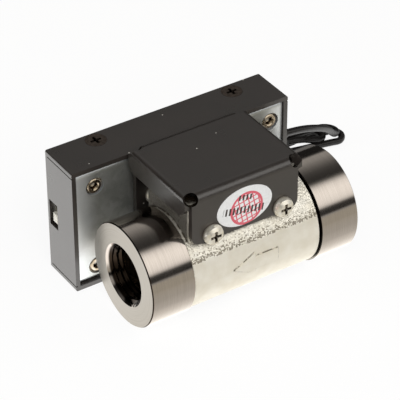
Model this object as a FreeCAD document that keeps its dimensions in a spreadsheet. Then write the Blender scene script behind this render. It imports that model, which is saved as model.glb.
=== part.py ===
"""Turbine flow meter: a brass pipe body with a turbine inside, and a display box on a bent bracket.

Every sub-part is drawn about the pipe: the origin of its sketches is the middle of the outlet
port's face, +X runs upstream along the pipe, +Y goes back to the display and +Z is up.
stand_on_floor then sets the sub-part down, so that z = 0 is the surface the meter stands on and
x = y = 0 is the middle of its footprint. All sizes are millimetres.
"""
import FreeCAD, Part
import math
import os

import Sketcher
from FreeCAD import Placement, Rotation, Vector

os.makedirs("parts", exist_ok=True)
doc = FreeCAD.newDocument("turbine_flow_meter")

SIZES = {
    # pipe: two screwed port collars and the cast body between them
    "collar_dia": 23.0,
    "collar_edge": 0.3,
    "outlet_collar_len": 10.1,
    "inlet_collar_len": 9.3,
    "body_len": 31.7,
    "body_dia": 22.3,
    "body_groove": 0.6,
    "port_dia": 11.445,  # minor diameter of a G1/4 thread
    "port_mouth_dia": 13.85,
    "port_depth": 7.2,
    "stub_dia": 18.0,
    "stub_gap": 0.2,
    "screwed_gap": 0.03,
    "seal_section": 0.9,
    "seal_gland": 1.2,
    # turbine and its two flow straighteners
    "throat_dia": 10.8,
    "seat_dia": 13.0,
    "chamber_len": 14.1,
    "straightener_hub_dia": 5.2,
    "vane_inset": 2.8,
    "vane_margin": 1.5,
    "straightener_vane_wall": 0.7,
    "straightener_vanes": 5,
    "hub_reach": 2.8,
    "push_gap": 0.03,
    "bush_dia": 3.2,
    "bush_len": 3.0,
    "shaft_dia": 1.5,
    "running_gap": 0.03,
    "end_play": 0.15,
    "blade_len": 6.0,
    "blade_wall": 0.8,
    "blade_twist": 44.0,
    "blades": 6,
    "tip_gap": 0.3,
    "rotor_hub_dia": 5.0,
    "magnet_len": 1.9,
    "magnet_bore": 2.6,
    # sensor boss on top of the body
    "boss_start": 0.8,
    "boss_end": 4.9,
    "boss_width": 15.6,
    "boss_top": 17.9,
    "boss_round": 0.6,
    "tray_wall": 3.4,
    "tray_floor": 12.4,
    "sensor_slot_len": 6.4,
    "sensor_slot_width": 3.2,
    "sensor_slot_floor": 7.6,
    "sensor_board_wall": 1.0,
    "hall_width": 4.1,
    "hall_wall": 1.6,
    "hall_height": 3.2,
    "hall_leg": 0.45,
    "hall_leg_pitch": 1.27,
    "lead_plug_len": 4.0,
    "lead_plug_width": 3.0,
    "lead_plug_height": 2.4,
    "lead_dia": 1.6,
    "lead_hole_dia": 2.4,
    "lead_height": 14.6,
    "lead_grommet_wall": 0.45,
    "lead_grommet_lip": 0.4,
    "grommet_gap": 0.15,
    "arrow_mid": 25.15,
    "arrow_len": 10.9,
    "arrow_head_len": 5.3,
    "arrow_head_width": 5.0,
    "arrow_shaft_width": 3.1,
    "arrow_relief": 0.25,
    # bent sheet bracket
    "bracket_gap": 0.1,
    "bracket_wall": 1.2,
    "bracket_bend": 1.8,
    "bracket_flange": 5.15,
    "bracket_flange_cut": 2.2,
    "side_bend": 1.1,
    "ear_inset": 1.35,
    "ear_drop": 11.9,
    "ear_round": 2.0,
    "rear_drop": 19.5,
    "rear_cut": 1.3,
    "side_inset": 0.6,
    "relief_dia": 2.9,
    "gasket_wall": 1.1,
    "gasket_rim": 1.2,
    # screws
    "screw_dia": 2.5,
    "pan_head_dia": 4.5,
    "pan_head_height": 1.7,
    "flat_head_dia": 4.6,
    "recess_width": 0.65,
    "recess_reach": 2.5,
    "recess_depth": 0.9,
    "bracket_screw_inset": 4.4,
    "ear_screw_shift": 0.4,
    "ear_screw_height": 9.9,
    "ear_screw_len": 4.4,
    "rear_screw_height": 7.5,
    "rear_screw_len": 4.0,
    "housing_screw_left": 10.7,
    "housing_screw_right": 9.0,
    "housing_screw_y": 21.6,
    "housing_screw_len": 4.0,
    "board_screw_dia": 1.64,
    "board_screw_head_dia": 3.6,
    "board_screw_head": 1.2,
    "board_screw_len": 2.6,
    # oval sticker on the bracket's ear
    "sticker_screw_inset": 1.9,
    "sticker_height": 9.2,
    "sticker_wall": 0.1,
    "sticker_shift": -0.3,
    "sticker_up": 13.6,
    # display box
    "box_len": 53.6,
    "box_height": 30.0,
    "box_depth": 11.0,
    "box_wall": 1.0,
    "box_edge": 0.4,
    "seam_drop": 1.1,
    "seam_width": 0.25,
    "seam_depth": 0.4,
    "box_overhang": 3.6,
    "box_setback": 13.45,
    "plate_recess": 0.55,
    "plate_wall": 1.0,
    "plate_gap": 0.1,
    "plate_bend": 1.2,
    "plate_flange": 3.2,
    "standoff_left": 4.6,
    "standoff_right": 3.1,
    "standoff_top": 4.3,
    "standoff_foot": 3.4,
    "standoff_dia": 3.4,
    "standoff_hole": 4.2,
    "standoff_base_dia": 4.6,
    "standoff_base": 0.7,
    "standoff_bore": 1.7,
    "standoff_reach": 1.6,
    "nut_dia": 5.0,
    "nut_reach": 1.4,
    "window_inset": 7.8,
    "window_height": 15.0,
    "window_lip": 1.5,
    "window_lip_wall": 0.8,
    "window_gap": 0.1,
    "board_wall": 1.0,
    "board_gap": 2.0,
    "frame_margin": 2.55,
    "frame_rim": 2.5,
    "frame_window_height": 14.2,
    "frame_gap": 0.05,
    "led_gap": 1.4,
    "led_gap_up": 0.2,
    "slot_width": 3.3,
    "slot_height": 6.3,
    "slot_y": 21.75,
    "switch_len": 3.6,
    "switch_depth": 3.4,
    "switch_height": 9.6,
    "switch_track_depth": 1.5,
    "knob_width": 1.8,
    "knob_height": 2.2,
    "knob_low": 0.95,
    "knob_inset": 0.3,
    "knob_gap": 0.1,
    "knob_travel": 2.0,
    "switch_leg": 0.6,
    "chip_len": 9.0,
    "chip_wall": 1.2,
    "socket_len": 2.6,
    "socket_depth": 3.6,
    "socket_height": 6.0,
    # output cable and its exit
    "cable_dia": 1.6,
    "exit_y": 19.2,
    "exit_up": 4.6,
    "grommet_dia": 5.4,
    "grommet_neck": 3.8,
    "grommet_flange": 0.9,
    "grommet_nose": 2.6,
    "hank_len": 32.0,
    "hank_width": 5.2,
    "hank_height": 3.4,
    "hank_round": 1.3,
    "hank_mid_x": 61.7,
    "hank_mid_y": 32.9,
    "tie_len": 3.0,
    "tie_wall": 0.4,
    "plug_start_x": 9.5,
    "plug_mid_y": 30.6,
    "plug_len": 12.0,
    "plug_width": 8.0,
    "plug_height": 4.4,
    "plug_pin": 0.64,
    "plug_pitch": 2.54,
    "plug_cavity": 7.0,
}

sheet = doc.addObject("Spreadsheet::Sheet", "Sizes")
for row, (alias, size) in enumerate(SIZES.items(), start=1):
    sheet.set("A%d" % row, alias)
    sheet.set("B%d" % row, str(size))
    sheet.setAlias("B%d" % row, alias)
doc.recompute()


class Size:
    """A size worked out from the sheet: its number, and the expression that binds it."""

    def __init__(self, number, text):
        self.number = float(number)
        self.text = text

    def join(self, sign, number, other, swap=False):
        mine, theirs = self.text, text_of(other)
        if swap:
            mine, theirs = theirs, mine
        return Size(number, "(%s %s %s)" % (mine, sign, theirs))

    def __add__(self, other):
        return self.join("+", self.number + number_of(other), other)

    def __radd__(self, other):
        return self.join("+", number_of(other) + self.number, other, swap=True)

    def __sub__(self, other):
        return self.join("-", self.number - number_of(other), other)

    def __rsub__(self, other):
        return self.join("-", number_of(other) - self.number, other, swap=True)

    def __mul__(self, other):
        return self.join("*", self.number * number_of(other), other)

    def __rmul__(self, other):
        return self.join("*", number_of(other) * self.number, other, swap=True)

    def __truediv__(self, other):
        return self.join("/", self.number / number_of(other), other)

    def __neg__(self):
        return Size(-self.number, "(-1 * %s)" % self.text)

    def __float__(self):
        return self.number


def number_of(value):
    return value.number if isinstance(value, Size) else float(value)


def text_of(value):
    return value.text if isinstance(value, Size) else repr(float(value))


class Sheet:
    """Reads the sheet's cells by name, as in of.collar_dia."""

    def __getattr__(self, alias):
        return Size(getattr(sheet, alias), "Sizes." + alias)


of = Sheet()

# places along the pipe, worked out from the driving sizes
body_start = of.outlet_collar_len
body_end = body_start + of.body_len
pipe_len = body_end + of.inlet_collar_len
throat_mid = pipe_len / 2
throat_start = throat_mid - of.chamber_len / 2
throat_end = throat_mid + of.chamber_len / 2
straightener_len = throat_start - of.port_depth
boss_left = body_start + of.boss_start
boss_right = body_end - of.boss_end
boss_len = boss_right - boss_left
boss_mid = boss_left + boss_len / 2
boss_front = -of.boss_width / 2
bracket_screw_reach = boss_len / 2 - of.bracket_screw_inset
tray_half_len = boss_len / 2 - of.tray_wall
tray_half_width = of.boss_width / 2 - of.tray_wall
lead_x = boss_mid
floor_level = -of.collar_dia / 2

# places in the bracket and the display box
ear_face = boss_front - of.bracket_wall
bracket_left = boss_left - of.bracket_gap - of.bracket_wall
bracket_right = boss_right + of.bracket_gap + of.bracket_wall
bracket_top = of.boss_top + of.gasket_wall + of.bracket_wall
box_left = -of.box_overhang
box_right = box_left + of.box_len
box_mid = box_left + of.box_len / 2
box_top = floor_level + of.box_height
box_mid_up = floor_level + of.box_height / 2
rim_y = of.box_setback
face_y = rim_y + of.box_depth
plate_y = rim_y + of.plate_recess
plate_back = plate_y + of.plate_wall
board_y = plate_back + of.standoff_reach
board_front = board_y + of.board_wall
panel_y = face_y - of.box_wall
lip_y = panel_y - of.window_lip_wall
housing_screw_first = box_left + of.housing_screw_left
housing_screw_last = box_right - of.housing_screw_right
window_len = of.box_len - 2 * of.window_inset
frame_window_len = window_len - 2 * of.frame_rim
board_len = of.box_len - 2 * (of.box_wall + of.board_gap)
board_height = of.box_height - 2 * (of.box_wall + of.board_gap)


# --- small helpers for bound sketches and features -----------------------------------------

def bind(thing, name, size):
    """Sets a property and ties it to the sheet."""
    if isinstance(size, Size):
        thing.setExpression(name, size.text)
    elif "." not in name:
        setattr(thing, name, size)
    else:
        thing.setExpression(name, repr(float(size)))


def stand_on_floor(thing, x=0.0, y=0.0, z=0.0):
    """Sets a sub-part drawn about the pipe down on the floor, over the middle of the footprint."""
    bind(thing, "Placement.Base.x", x - (pipe_len - of.box_overhang) / 2)
    bind(thing, "Placement.Base.y", y - (face_y - of.collar_dia / 2) / 2)
    bind(thing, "Placement.Base.z", z - floor_level)


def new_body(name):
    body = doc.addObject("PartDesign::Body", name)
    body.Label = name
    return body


def new_sketch(body, name, plane, offset=0.0, turn=0.0, shift=0.0):
    """A sketch on one of the body's own planes: moved along, turned about or shifted across it."""
    sketch = body.newObject("Sketcher::SketchObject", name)
    role = plane + "_Plane"
    origin = [item for item in body.Origin.OriginFeatures if item.Role == role][0]
    sketch.AttachmentSupport = [(origin, "")]
    sketch.MapMode = "FlatFace"
    bind(sketch, "AttachmentOffset.Base.z", offset)
    bind(sketch, "AttachmentOffset.Base.x", shift)
    if isinstance(turn, Size):
        bind(sketch, "AttachmentOffset.Rotation.Angle", turn)
        sketch.AttachmentOffset = Placement(Vector(), Rotation(Vector(0, 0, 1), turn.number))
    return sketch


def hold(sketch, geometry, point, x, y):
    """Fixes a point of a sketch at its two distances from the sketch's origin."""
    for kind, axis, size in (("DistanceX", -2, x), ("DistanceY", -1, y)):
        if not isinstance(size, Size) and size == 0:
            sketch.addConstraint(Sketcher.Constraint("PointOnObject", geometry, point, axis))
            continue
        number = number_of(size)
        index = sketch.addConstraint(Sketcher.Constraint(kind, -1, 1, geometry, point, number))
        if isinstance(size, Size):
            sketch.setExpression("Constraints[%d]" % index, size.text)


def polygon(sketch, corners):
    """A closed outline through the corners, each one held from the sketch's origin."""
    first = sketch.GeometryCount
    count = len(corners)
    spots = [Vector(number_of(x), number_of(y), 0) for x, y in corners]
    for i in range(count):
        sketch.addGeometry(Part.LineSegment(spots[i], spots[(i + 1) % count]), False)
    for i in range(count):
        after = first + (i + 1) % count
        sketch.addConstraint(Sketcher.Constraint("Coincident", first + i, 2, after, 1))
    for i, (x, y) in enumerate(corners):
        hold(sketch, first + i, 1, x, y)


def rectangle(sketch, x0, y0, x1, y1):
    polygon(sketch, [(x0, y0), (x1, y0), (x1, y1), (x0, y1)])


def circle(sketch, x, y, diameter):
    centre = Vector(number_of(x), number_of(y), 0)
    index = sketch.addGeometry(Part.Circle(centre, Vector(0, 0, 1), number_of(diameter) / 2), False)
    hold(sketch, index, 3, x, y)
    size = sketch.addConstraint(Sketcher.Constraint("Diameter", index, number_of(diameter)))
    if isinstance(diameter, Size):
        sketch.setExpression("Constraints[%d]" % size, diameter.text)


def ellipse(sketch, x, y, width, height):
    """An upright ellipse, held by its centre and the ends of its two axes."""
    centre = Vector(number_of(x), number_of(y), 0)
    side = centre + Vector(number_of(width) / 2, 0, 0)
    top = centre + Vector(0, number_of(height) / 2, 0)
    index = sketch.addGeometry(Part.Ellipse(side, top, centre), False)
    sketch.exposeInternalGeometry(index)
    long_axis, short_axis = sketch.Geometry[index + 1], sketch.Geometry[index + 2]
    side = 1 if long_axis.StartPoint.x > centre.x else -1
    hold(sketch, index + 1, 1, x + side * width / 2, y)
    hold(sketch, index + 1, 2, x - side * width / 2, y)
    side = 1 if short_axis.StartPoint.y > centre.y else -1
    reach = y + side * height / 2
    made = sketch.addConstraint(Sketcher.Constraint("DistanceY", -1, 1, index + 2, 1, number_of(reach)))
    sketch.setExpression("Constraints[%d]" % made, reach.text)


def feature(body, kind, name, sketch, **sizes):
    made = body.newObject("PartDesign::" + kind, name)
    made.Profile = sketch
    for key, size in sizes.items():
        bind(made, key, size)
    sketch.Visibility = False
    return made


def pad(body, sketch, length, **more):
    return feature(body, "Pad", sketch.Name + "_pad", sketch, Length=length, **more)


def pocket(body, sketch, length, **more):
    return feature(body, "Pocket", sketch.Name + "_pocket", sketch, Length=length, **more)


def turned(body, sketch, kind="Revolution", axis="H_Axis"):
    """A full turn about one of the sketch's own axes."""
    made = feature(body, kind, sketch.Name + "_turned", sketch)
    made.ReferenceAxis = (sketch, [axis])
    made.Angle = 360.0
    return made


def pattern(body, feature_to_repeat, axis, count):
    """Repeats a feature evenly round one of the body's own axes."""
    doc.recompute()
    made = body.newObject("PartDesign::PolarPattern", feature_to_repeat.Name + "_pattern")
    made.Originals = [feature_to_repeat]
    role = axis + "_Axis"
    origin = [item for item in body.Origin.OriginFeatures if item.Role == role][0]
    made.Axis = (origin, [""])
    made.Angle = 360.0
    bind(made, "Occurrences", count)
    body.Tip = made
    return made


def edges_of(body, test):
    """Names of the tip's edges that pass a test on their two ends and middle."""
    doc.recompute()
    names = []
    for index, edge in enumerate(body.Tip.Shape.Edges, start=1):
        middle = edge.valueAt((edge.FirstParameter + edge.LastParameter) / 2)
        if test(edge, middle):
            names.append("Edge%d" % index)
    return names


def soften(body, name, test, size, kind="Fillet"):
    """A fillet or chamfer on the edges that pass the test."""
    base = body.Tip
    names = edges_of(body, test)
    made = body.newObject("PartDesign::" + kind, name)
    made.Base = (base, names)
    bind(made, "Radius" if kind == "Fillet" else "Size", size)
    return made


def runs_along(edge, axis):
    """Is this a straight edge along the axis?"""
    if not isinstance(edge.Curve, (Part.Line, Part.LineSegment)):
        return False
    return abs(edge.tangentAt(edge.FirstParameter).dot(axis)) > 0.999


def near(a, b, slack=0.02):
    return abs(a - number_of(b)) < slack


ALONG_X, ALONG_Y, ALONG_Z = Vector(1, 0, 0), Vector(0, 1, 0), Vector(0, 0, 1)
sub_parts = []


def finish(thing, x=0.0, y=0.0, z=0.0):
    """Stands a finished sub-part, drawn at x, y, z from the pipe's origin, on the floor."""
    stand_on_floor(thing, x, y, z)
    sub_parts.append(thing)
    return thing


def group(name, pieces):
    """Identical pieces that share one node, each a solid of its own."""
    compound = doc.addObject("Part::Compound", name)
    compound.Label = name
    compound.Links = pieces
    sub_parts.append(compound)
    return compound


# --- pipe ----------------------------------------------------------------------------------

def collar(name, face_x, towards, length):
    """A turned port collar: threaded port in front, counterbore for the body's stub behind."""
    body = new_body(name)
    mouth = of.port_mouth_dia / 2
    port = of.port_dia / 2
    outer = of.collar_dia / 2
    socket = of.stub_dia / 2 + of.screwed_gap

    def at(depth):
        return face_x + towards * depth

    sketch = new_sketch(body, name + "_profile", "XY")
    polygon(sketch, [
        (at(0), mouth),
        (at(0), outer - of.collar_edge),
        (at(of.collar_edge), outer),
        (at(length - of.collar_edge), outer),
        (at(length), outer - of.collar_edge),
        (at(length), socket),
        (at(of.port_depth), socket),
        (at(of.port_depth), port),
        (at(mouth - port), port),
    ])
    turned(body, sketch)
    return finish(body)


def meter_body():
    """The cast body: screwed stubs, stepped bore, arrow, sensor boss with its tray and holes."""
    body = new_body("meter_body")
    stub = of.stub_dia / 2
    barrel = of.body_dia / 2
    seat = of.seat_dia / 2
    throat = of.throat_dia / 2
    stub_start = of.port_depth + of.stub_gap
    stub_end = pipe_len - of.port_depth - of.stub_gap
    gland = stub - of.seal_section
    gland_out = (body_start + stub_start) / 2
    gland_in = (body_end + stub_end) / 2
    half_gland = of.seal_gland / 2
    sketch = new_sketch(body, "barrel", "XY")
    polygon(sketch, [
        (stub_start, seat),
        (stub_start, stub),
        (gland_out - half_gland, stub),
        (gland_out - half_gland, gland),
        (gland_out + half_gland, gland),
        (gland_out + half_gland, stub),
        (body_start, stub),
        (body_start, barrel),
        (body_end - of.body_groove, barrel),
        (body_end - of.body_groove, stub),
        (gland_in - half_gland, stub),
        (gland_in - half_gland, gland),
        (gland_in + half_gland, gland),
        (gland_in + half_gland, stub),
        (stub_end, stub),
        (stub_end, seat),
        (throat_end, seat),
        (throat_end, throat),
        (throat_start, throat),
        (throat_start, seat),
    ])
    turned(body, sketch)

    # the raised arrow points downstream and follows the barrel's curve
    tip = of.arrow_mid - of.arrow_len / 2
    tail = of.arrow_mid + of.arrow_len / 2
    barb = tip + of.arrow_head_len
    head = of.arrow_head_width / 2
    shaft = of.arrow_shaft_width / 2
    root = barrel - 1.0
    sketch = new_sketch(body, "arrow", "XZ", offset=root)
    polygon(sketch, [
        (tip, 0), (barb, -head), (barb, -shaft), (tail, -shaft), (tail, shaft), (barb, shaft), (barb, head),
    ])
    pad(body, sketch, of.arrow_relief + 2.0)
    crest = barrel + of.arrow_relief
    sketch = new_sketch(body, "arrow_crest", "XY")
    rectangle(sketch, tip - 0.5, crest, tail + 0.5, crest + 3.0)
    turned(body, sketch, "Groove")

    # the boss stands on the barrel with its sides nearly flush with it
    sketch = new_sketch(body, "boss", "XY", offset=seat + 0.6)
    rectangle(sketch, boss_left, boss_front, boss_right, -boss_front)
    pad(body, sketch, of.boss_top - seat - 0.6)
    corner_height = seat + 2.0
    soften(body, "boss_rounding", lambda edge, middle: (
        runs_along(edge, ALONG_Z) and middle.z > number_of(corner_height)
    ), of.boss_round)

    # a tray for the sensor board, and below it a slot that brings the sensor close to the bore
    sketch = new_sketch(body, "tray", "XY", offset=of.boss_top)
    rectangle(sketch, boss_mid - tray_half_len, -tray_half_width, boss_mid + tray_half_len, tray_half_width)
    pocket(body, sketch, of.boss_top - of.tray_floor)
    sketch = new_sketch(body, "sensor_slot", "XY", offset=of.tray_floor)
    half_len, half_width = of.sensor_slot_len / 2, of.sensor_slot_width / 2
    rectangle(sketch, magnet_mid - half_len, -half_width, magnet_mid + half_len, half_width)
    pocket(body, sketch, of.tray_floor - of.sensor_slot_floor)

    # holes: two for the ear's screws in front, one for the sensor's lead at the back
    sketch = new_sketch(body, "ear_screw_holes", "XZ", offset=-boss_front)
    for side in (-1, 1):
        hole_x = boss_mid + of.ear_screw_shift + side * bracket_screw_reach
        circle(sketch, hole_x, of.ear_screw_height, of.screw_dia + 2 * of.screwed_gap)
    pocket(body, sketch, of.ear_screw_len - of.bracket_wall + 0.3)
    sketch = new_sketch(body, "lead_hole", "XZ", offset=boss_front)
    circle(sketch, lead_x, of.lead_height, of.lead_hole_dia)
    pocket(body, sketch, of.tray_wall + 0.5, Reversed=True)
    return finish(body)


def seal(name, middle_x):
    """A seal ring in its gland on one of the body's stubs, squeezed to a bevelled section."""
    body = new_body(name)
    sketch = new_sketch(body, name + "_section", "XY")
    outer = of.stub_dia / 2
    inner = outer - of.seal_section + 0.01
    half = of.seal_gland / 2 - 0.1
    bevel = of.seal_section / 4
    polygon(sketch, [
        (middle_x - half, inner + bevel), (middle_x - half, outer - bevel),
        (middle_x - half + bevel, outer), (middle_x + half - bevel, outer),
        (middle_x + half, outer - bevel), (middle_x + half, inner + bevel),
        (middle_x + half - bevel, inner), (middle_x - half + bevel, inner),
    ])
    turned(body, sketch)
    return finish(body)


def straightener(name, port_x, towards):
    """A ring with radial vanes that hold a bullet-nosed hub; the hub's far end takes the bush."""
    body = new_body(name)
    ring_out = of.seat_dia / 2 - of.push_gap
    ring_in = of.throat_dia / 2
    hub = of.straightener_hub_dia / 2
    bush = of.bush_dia / 2 + of.push_gap
    length = straightener_len

    def at(depth):
        return port_x + towards * depth

    sketch = new_sketch(body, name + "_ring", "XY")
    inner, outer = at(0.05), at(length - 0.05)
    polygon(sketch, [(inner, ring_in), (inner, ring_out), (outer, ring_out), (outer, ring_in)])
    turned(body, sketch)

    vane_end = length - of.vane_margin
    vane_start = of.vane_inset
    sketch = new_sketch(body, name + "_vane", "XY", offset=-of.straightener_vane_wall / 2)
    rectangle(sketch, at(vane_start), hub - 0.4, at(vane_end), ring_in + 0.3)
    vane = pad(body, sketch, of.straightener_vane_wall)
    pattern(body, vane, "X", of.straightener_vanes)

    tip = vane_start - 1.6
    end = length + of.hub_reach
    sketch = new_sketch(body, name + "_hub", "XY")
    polygon(sketch, [
        (at(tip), 0),
        (at(tip + 0.35), hub * 0.42),
        (at(tip + 1.1), hub * 0.76),
        (at(tip + 2.3), hub),
        (at(end), hub),
        (at(end), bush),
        (at(end - of.bush_len), bush),
        (at(end - of.bush_len), 0),
    ])
    turned(body, sketch)
    return finish(body)


def bush(name, hub_end, towards):
    """A plain bearing bush in the hub of a straightener, open towards the rotor."""
    body = new_body(name)
    sketch = new_sketch(body, name + "_profile", "XY")
    bore = of.shaft_dia / 2 + of.running_gap
    outer = of.bush_dia / 2
    blind = of.bush_len - 0.6

    def at(depth):
        return hub_end - towards * depth

    polygon(sketch, [
        (at(0), bore + 0.15),
        (at(0), outer),
        (at(of.bush_len), outer),
        (at(of.bush_len), 0),
        (at(blind), 0),
        (at(blind), bore),
        (at(0.15), bore),
    ])
    turned(body, sketch)
    return finish(body)


rotor_len = of.blade_len + of.magnet_len
rotor_start = throat_mid - rotor_len / 2
blade_end = rotor_start + of.blade_len
rotor_end = rotor_start + rotor_len
magnet_mid = blade_end + of.magnet_len / 2
outlet_hub_end = throat_start + of.hub_reach
inlet_hub_end = throat_end - of.hub_reach


def rotor_shaft():
    """A polished pin through the rotor, with both ends in the bushes."""
    body = new_body("rotor_shaft")
    sketch = new_sketch(body, "shaft_profile", "XY")
    radius = of.shaft_dia / 2
    start = outlet_hub_end - of.bush_len + 0.6 + of.end_play
    end = inlet_hub_end + of.bush_len - 0.6 - of.end_play
    polygon(sketch, [
        (start, 0), (start, radius - 0.2), (start + 0.2, radius),
        (end - 0.2, radius), (end, radius - 0.2), (end, 0),
    ])
    turned(body, sketch)
    return finish(body)


def turbine_rotor():
    """The turbine: a hub with helical blades and, upstream, a spigot for the magnet ring."""
    body = new_body("turbine_rotor")
    hub = of.rotor_hub_dia / 2
    bore = of.shaft_dia / 2
    tip = of.throat_dia / 2 - of.tip_gap
    spigot = of.magnet_bore / 2
    sketch = new_sketch(body, "rotor_hub", "XY")
    polygon(sketch, [
        (rotor_start, bore),
        (rotor_start, hub - 0.4),
        (rotor_start + 0.4, hub),
        (blade_end, hub),
        (blade_end, spigot),
        (rotor_end, spigot),
        (rotor_end, bore),
    ])
    turned(body, sketch)

    # each blade is lofted through five sections that turn evenly along the hub
    sections = []
    steps = 4
    for step in range(steps + 1):
        part_way = step / steps
        sketch = new_sketch(body, "blade_section_%d" % step, "YZ",
                            offset=rotor_start + of.blade_len * part_way,
                            turn=of.blade_twist * part_way)
        half = of.blade_wall / 2
        rectangle(sketch, hub - 0.3, -half, tip, half)
        sections.append(sketch)
    blade = body.newObject("PartDesign::AdditiveLoft", "blade")
    blade.Profile = sections[0]
    blade.Sections = sections[1:]
    blade.Ruled = False
    for sketch in sections:
        sketch.Visibility = False
    pattern(body, blade, "X", of.blades)
    return finish(body)


def magnet_ring():
    """The ring magnet on the rotor's spigot, which the sensor counts as it turns."""
    body = new_body("rotor_magnet")
    sketch = new_sketch(body, "magnet_profile", "XY")
    bore = of.magnet_bore / 2 + of.push_gap
    outer = of.rotor_hub_dia / 2 - 0.1
    polygon(sketch, [
        (blade_end, bore), (blade_end, outer), (rotor_end - 0.2, outer),
        (rotor_end, outer - 0.2), (rotor_end, bore),
    ])
    turned(body, sketch)
    return finish(body)


# --- sensor in the boss --------------------------------------------------------------------

def sensor_board():
    """The little board on the tray's floor, drilled for the sensor's three legs."""
    body = new_body("sensor_board")
    half_len = tray_half_len - 0.2
    half_width = tray_half_width - 0.2
    sketch = new_sketch(body, "sensor_board_outline", "XY", offset=of.tray_floor)
    rectangle(sketch, boss_mid - half_len, -half_width, boss_mid + half_len, half_width)
    pad(body, sketch, of.sensor_board_wall)
    sketch = new_sketch(body, "sensor_leg_holes", "XY", offset=of.tray_floor + of.sensor_board_wall)
    for leg in (-1, 0, 1):
        circle(sketch, magnet_mid + leg * of.hall_leg_pitch, 0, of.hall_leg * 2)
    pocket(body, sketch, of.sensor_board_wall + 0.2)
    return finish(body)


def hall_sensor():
    """The three-legged sensor that hangs under its board, close above the magnet ring."""
    body = new_body("hall_sensor")
    bottom = of.sensor_slot_floor + 0.3
    half_width = of.hall_width / 2
    half_wall = of.hall_wall / 2
    bevel = half_wall / 2
    sketch = new_sketch(body, "hall_case", "XY", offset=bottom)
    polygon(sketch, [
        (magnet_mid - half_width, half_wall),
        (magnet_mid - half_width, 0),
        (magnet_mid - half_width + bevel, -half_wall),
        (magnet_mid + half_width - bevel, -half_wall),
        (magnet_mid + half_width, 0),
        (magnet_mid + half_width, half_wall),
    ])
    pad(body, sketch, of.hall_height)
    top = bottom + of.hall_height
    sketch = new_sketch(body, "hall_legs", "XY", offset=top - 0.2)
    half_leg = of.hall_leg / 2
    for leg in (-1, 0, 1):
        leg_x = magnet_mid + leg * of.hall_leg_pitch
        rectangle(sketch, leg_x - half_leg, -half_leg, leg_x + half_leg, half_leg)
    pad(body, sketch, of.tray_floor + of.sensor_board_wall + 0.5 - top + 0.2)
    return finish(body)


lead_start = of.lead_plug_width / 2 + 0.5
lead_neck = of.lead_dia + 0.1 + 2 * of.lead_grommet_wall


def lead_plug():
    """The plug on the sensor board that the lead to the display starts from."""
    body = new_body("sensor_plug")
    sketch = new_sketch(body, "sensor_plug_outline", "XY", offset=of.tray_floor + of.sensor_board_wall)
    half_len = of.lead_plug_len / 2
    rectangle(sketch, lead_x - half_len, lead_start - of.lead_plug_width, lead_x + half_len, lead_start)
    pad(body, sketch, of.lead_plug_height)
    soften(body, "sensor_plug_edges", lambda edge, middle: (
        runs_along(edge, ALONG_Z)
    ), 0.2, "Chamfer")
    return finish(body)


def sensor_lead():
    """The sensor's lead: straight back from its plug, through boss and bracket, to the display board."""
    lead = doc.addObject("Part::Cylinder", "sensor_lead")
    bind(lead, "Radius", of.lead_dia / 2)
    bind(lead, "Height", board_y - lead_start)
    lead.Placement = Placement(Vector(), Rotation(ALONG_X, -90))
    lead.Label = "sensor_lead"
    return finish(lead, lead_x, lead_start, of.lead_height)


def lead_grommet():
    """A rubber ring where the lead passes the back plate's sheet edge."""
    body = new_body("lead_grommet")
    bore = of.lead_dia / 2 + 0.05
    neck = lead_neck / 2
    lip = neck + of.lead_grommet_lip
    sketch = new_sketch(body, "lead_grommet_profile", "XY")
    polygon(sketch, [
        (bore, -0.5), (lip, -0.5), (lip, -0.05), (neck, -0.05), (neck, of.plate_wall + 0.05),
        (lip, of.plate_wall + 0.05), (lip, of.plate_wall + 0.6), (bore, of.plate_wall + 0.6),
    ])
    turned(body, sketch, axis="V_Axis")
    return finish(body, lead_x, plate_y, of.lead_height)


def boss_gasket():
    """The foam frame between the boss's rim and the bracket's top."""
    body = new_body("boss_gasket")
    sketch = new_sketch(body, "gasket_outline", "XY", offset=of.boss_top)
    half_len, half_width = tray_half_len + of.gasket_rim, tray_half_width + of.gasket_rim
    rectangle(sketch, boss_mid - half_len, -half_width, boss_mid + half_len, half_width)
    pad(body, sketch, of.gasket_wall)
    sketch = new_sketch(body, "gasket_opening", "XY", offset=of.boss_top + of.gasket_wall)
    rectangle(sketch, boss_mid - tray_half_len, -tray_half_width, boss_mid + tray_half_len, tray_half_width)
    pocket(body, sketch, of.gasket_wall + 0.2)
    return finish(body)


# --- bracket and its screws ----------------------------------------------------------------

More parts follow.
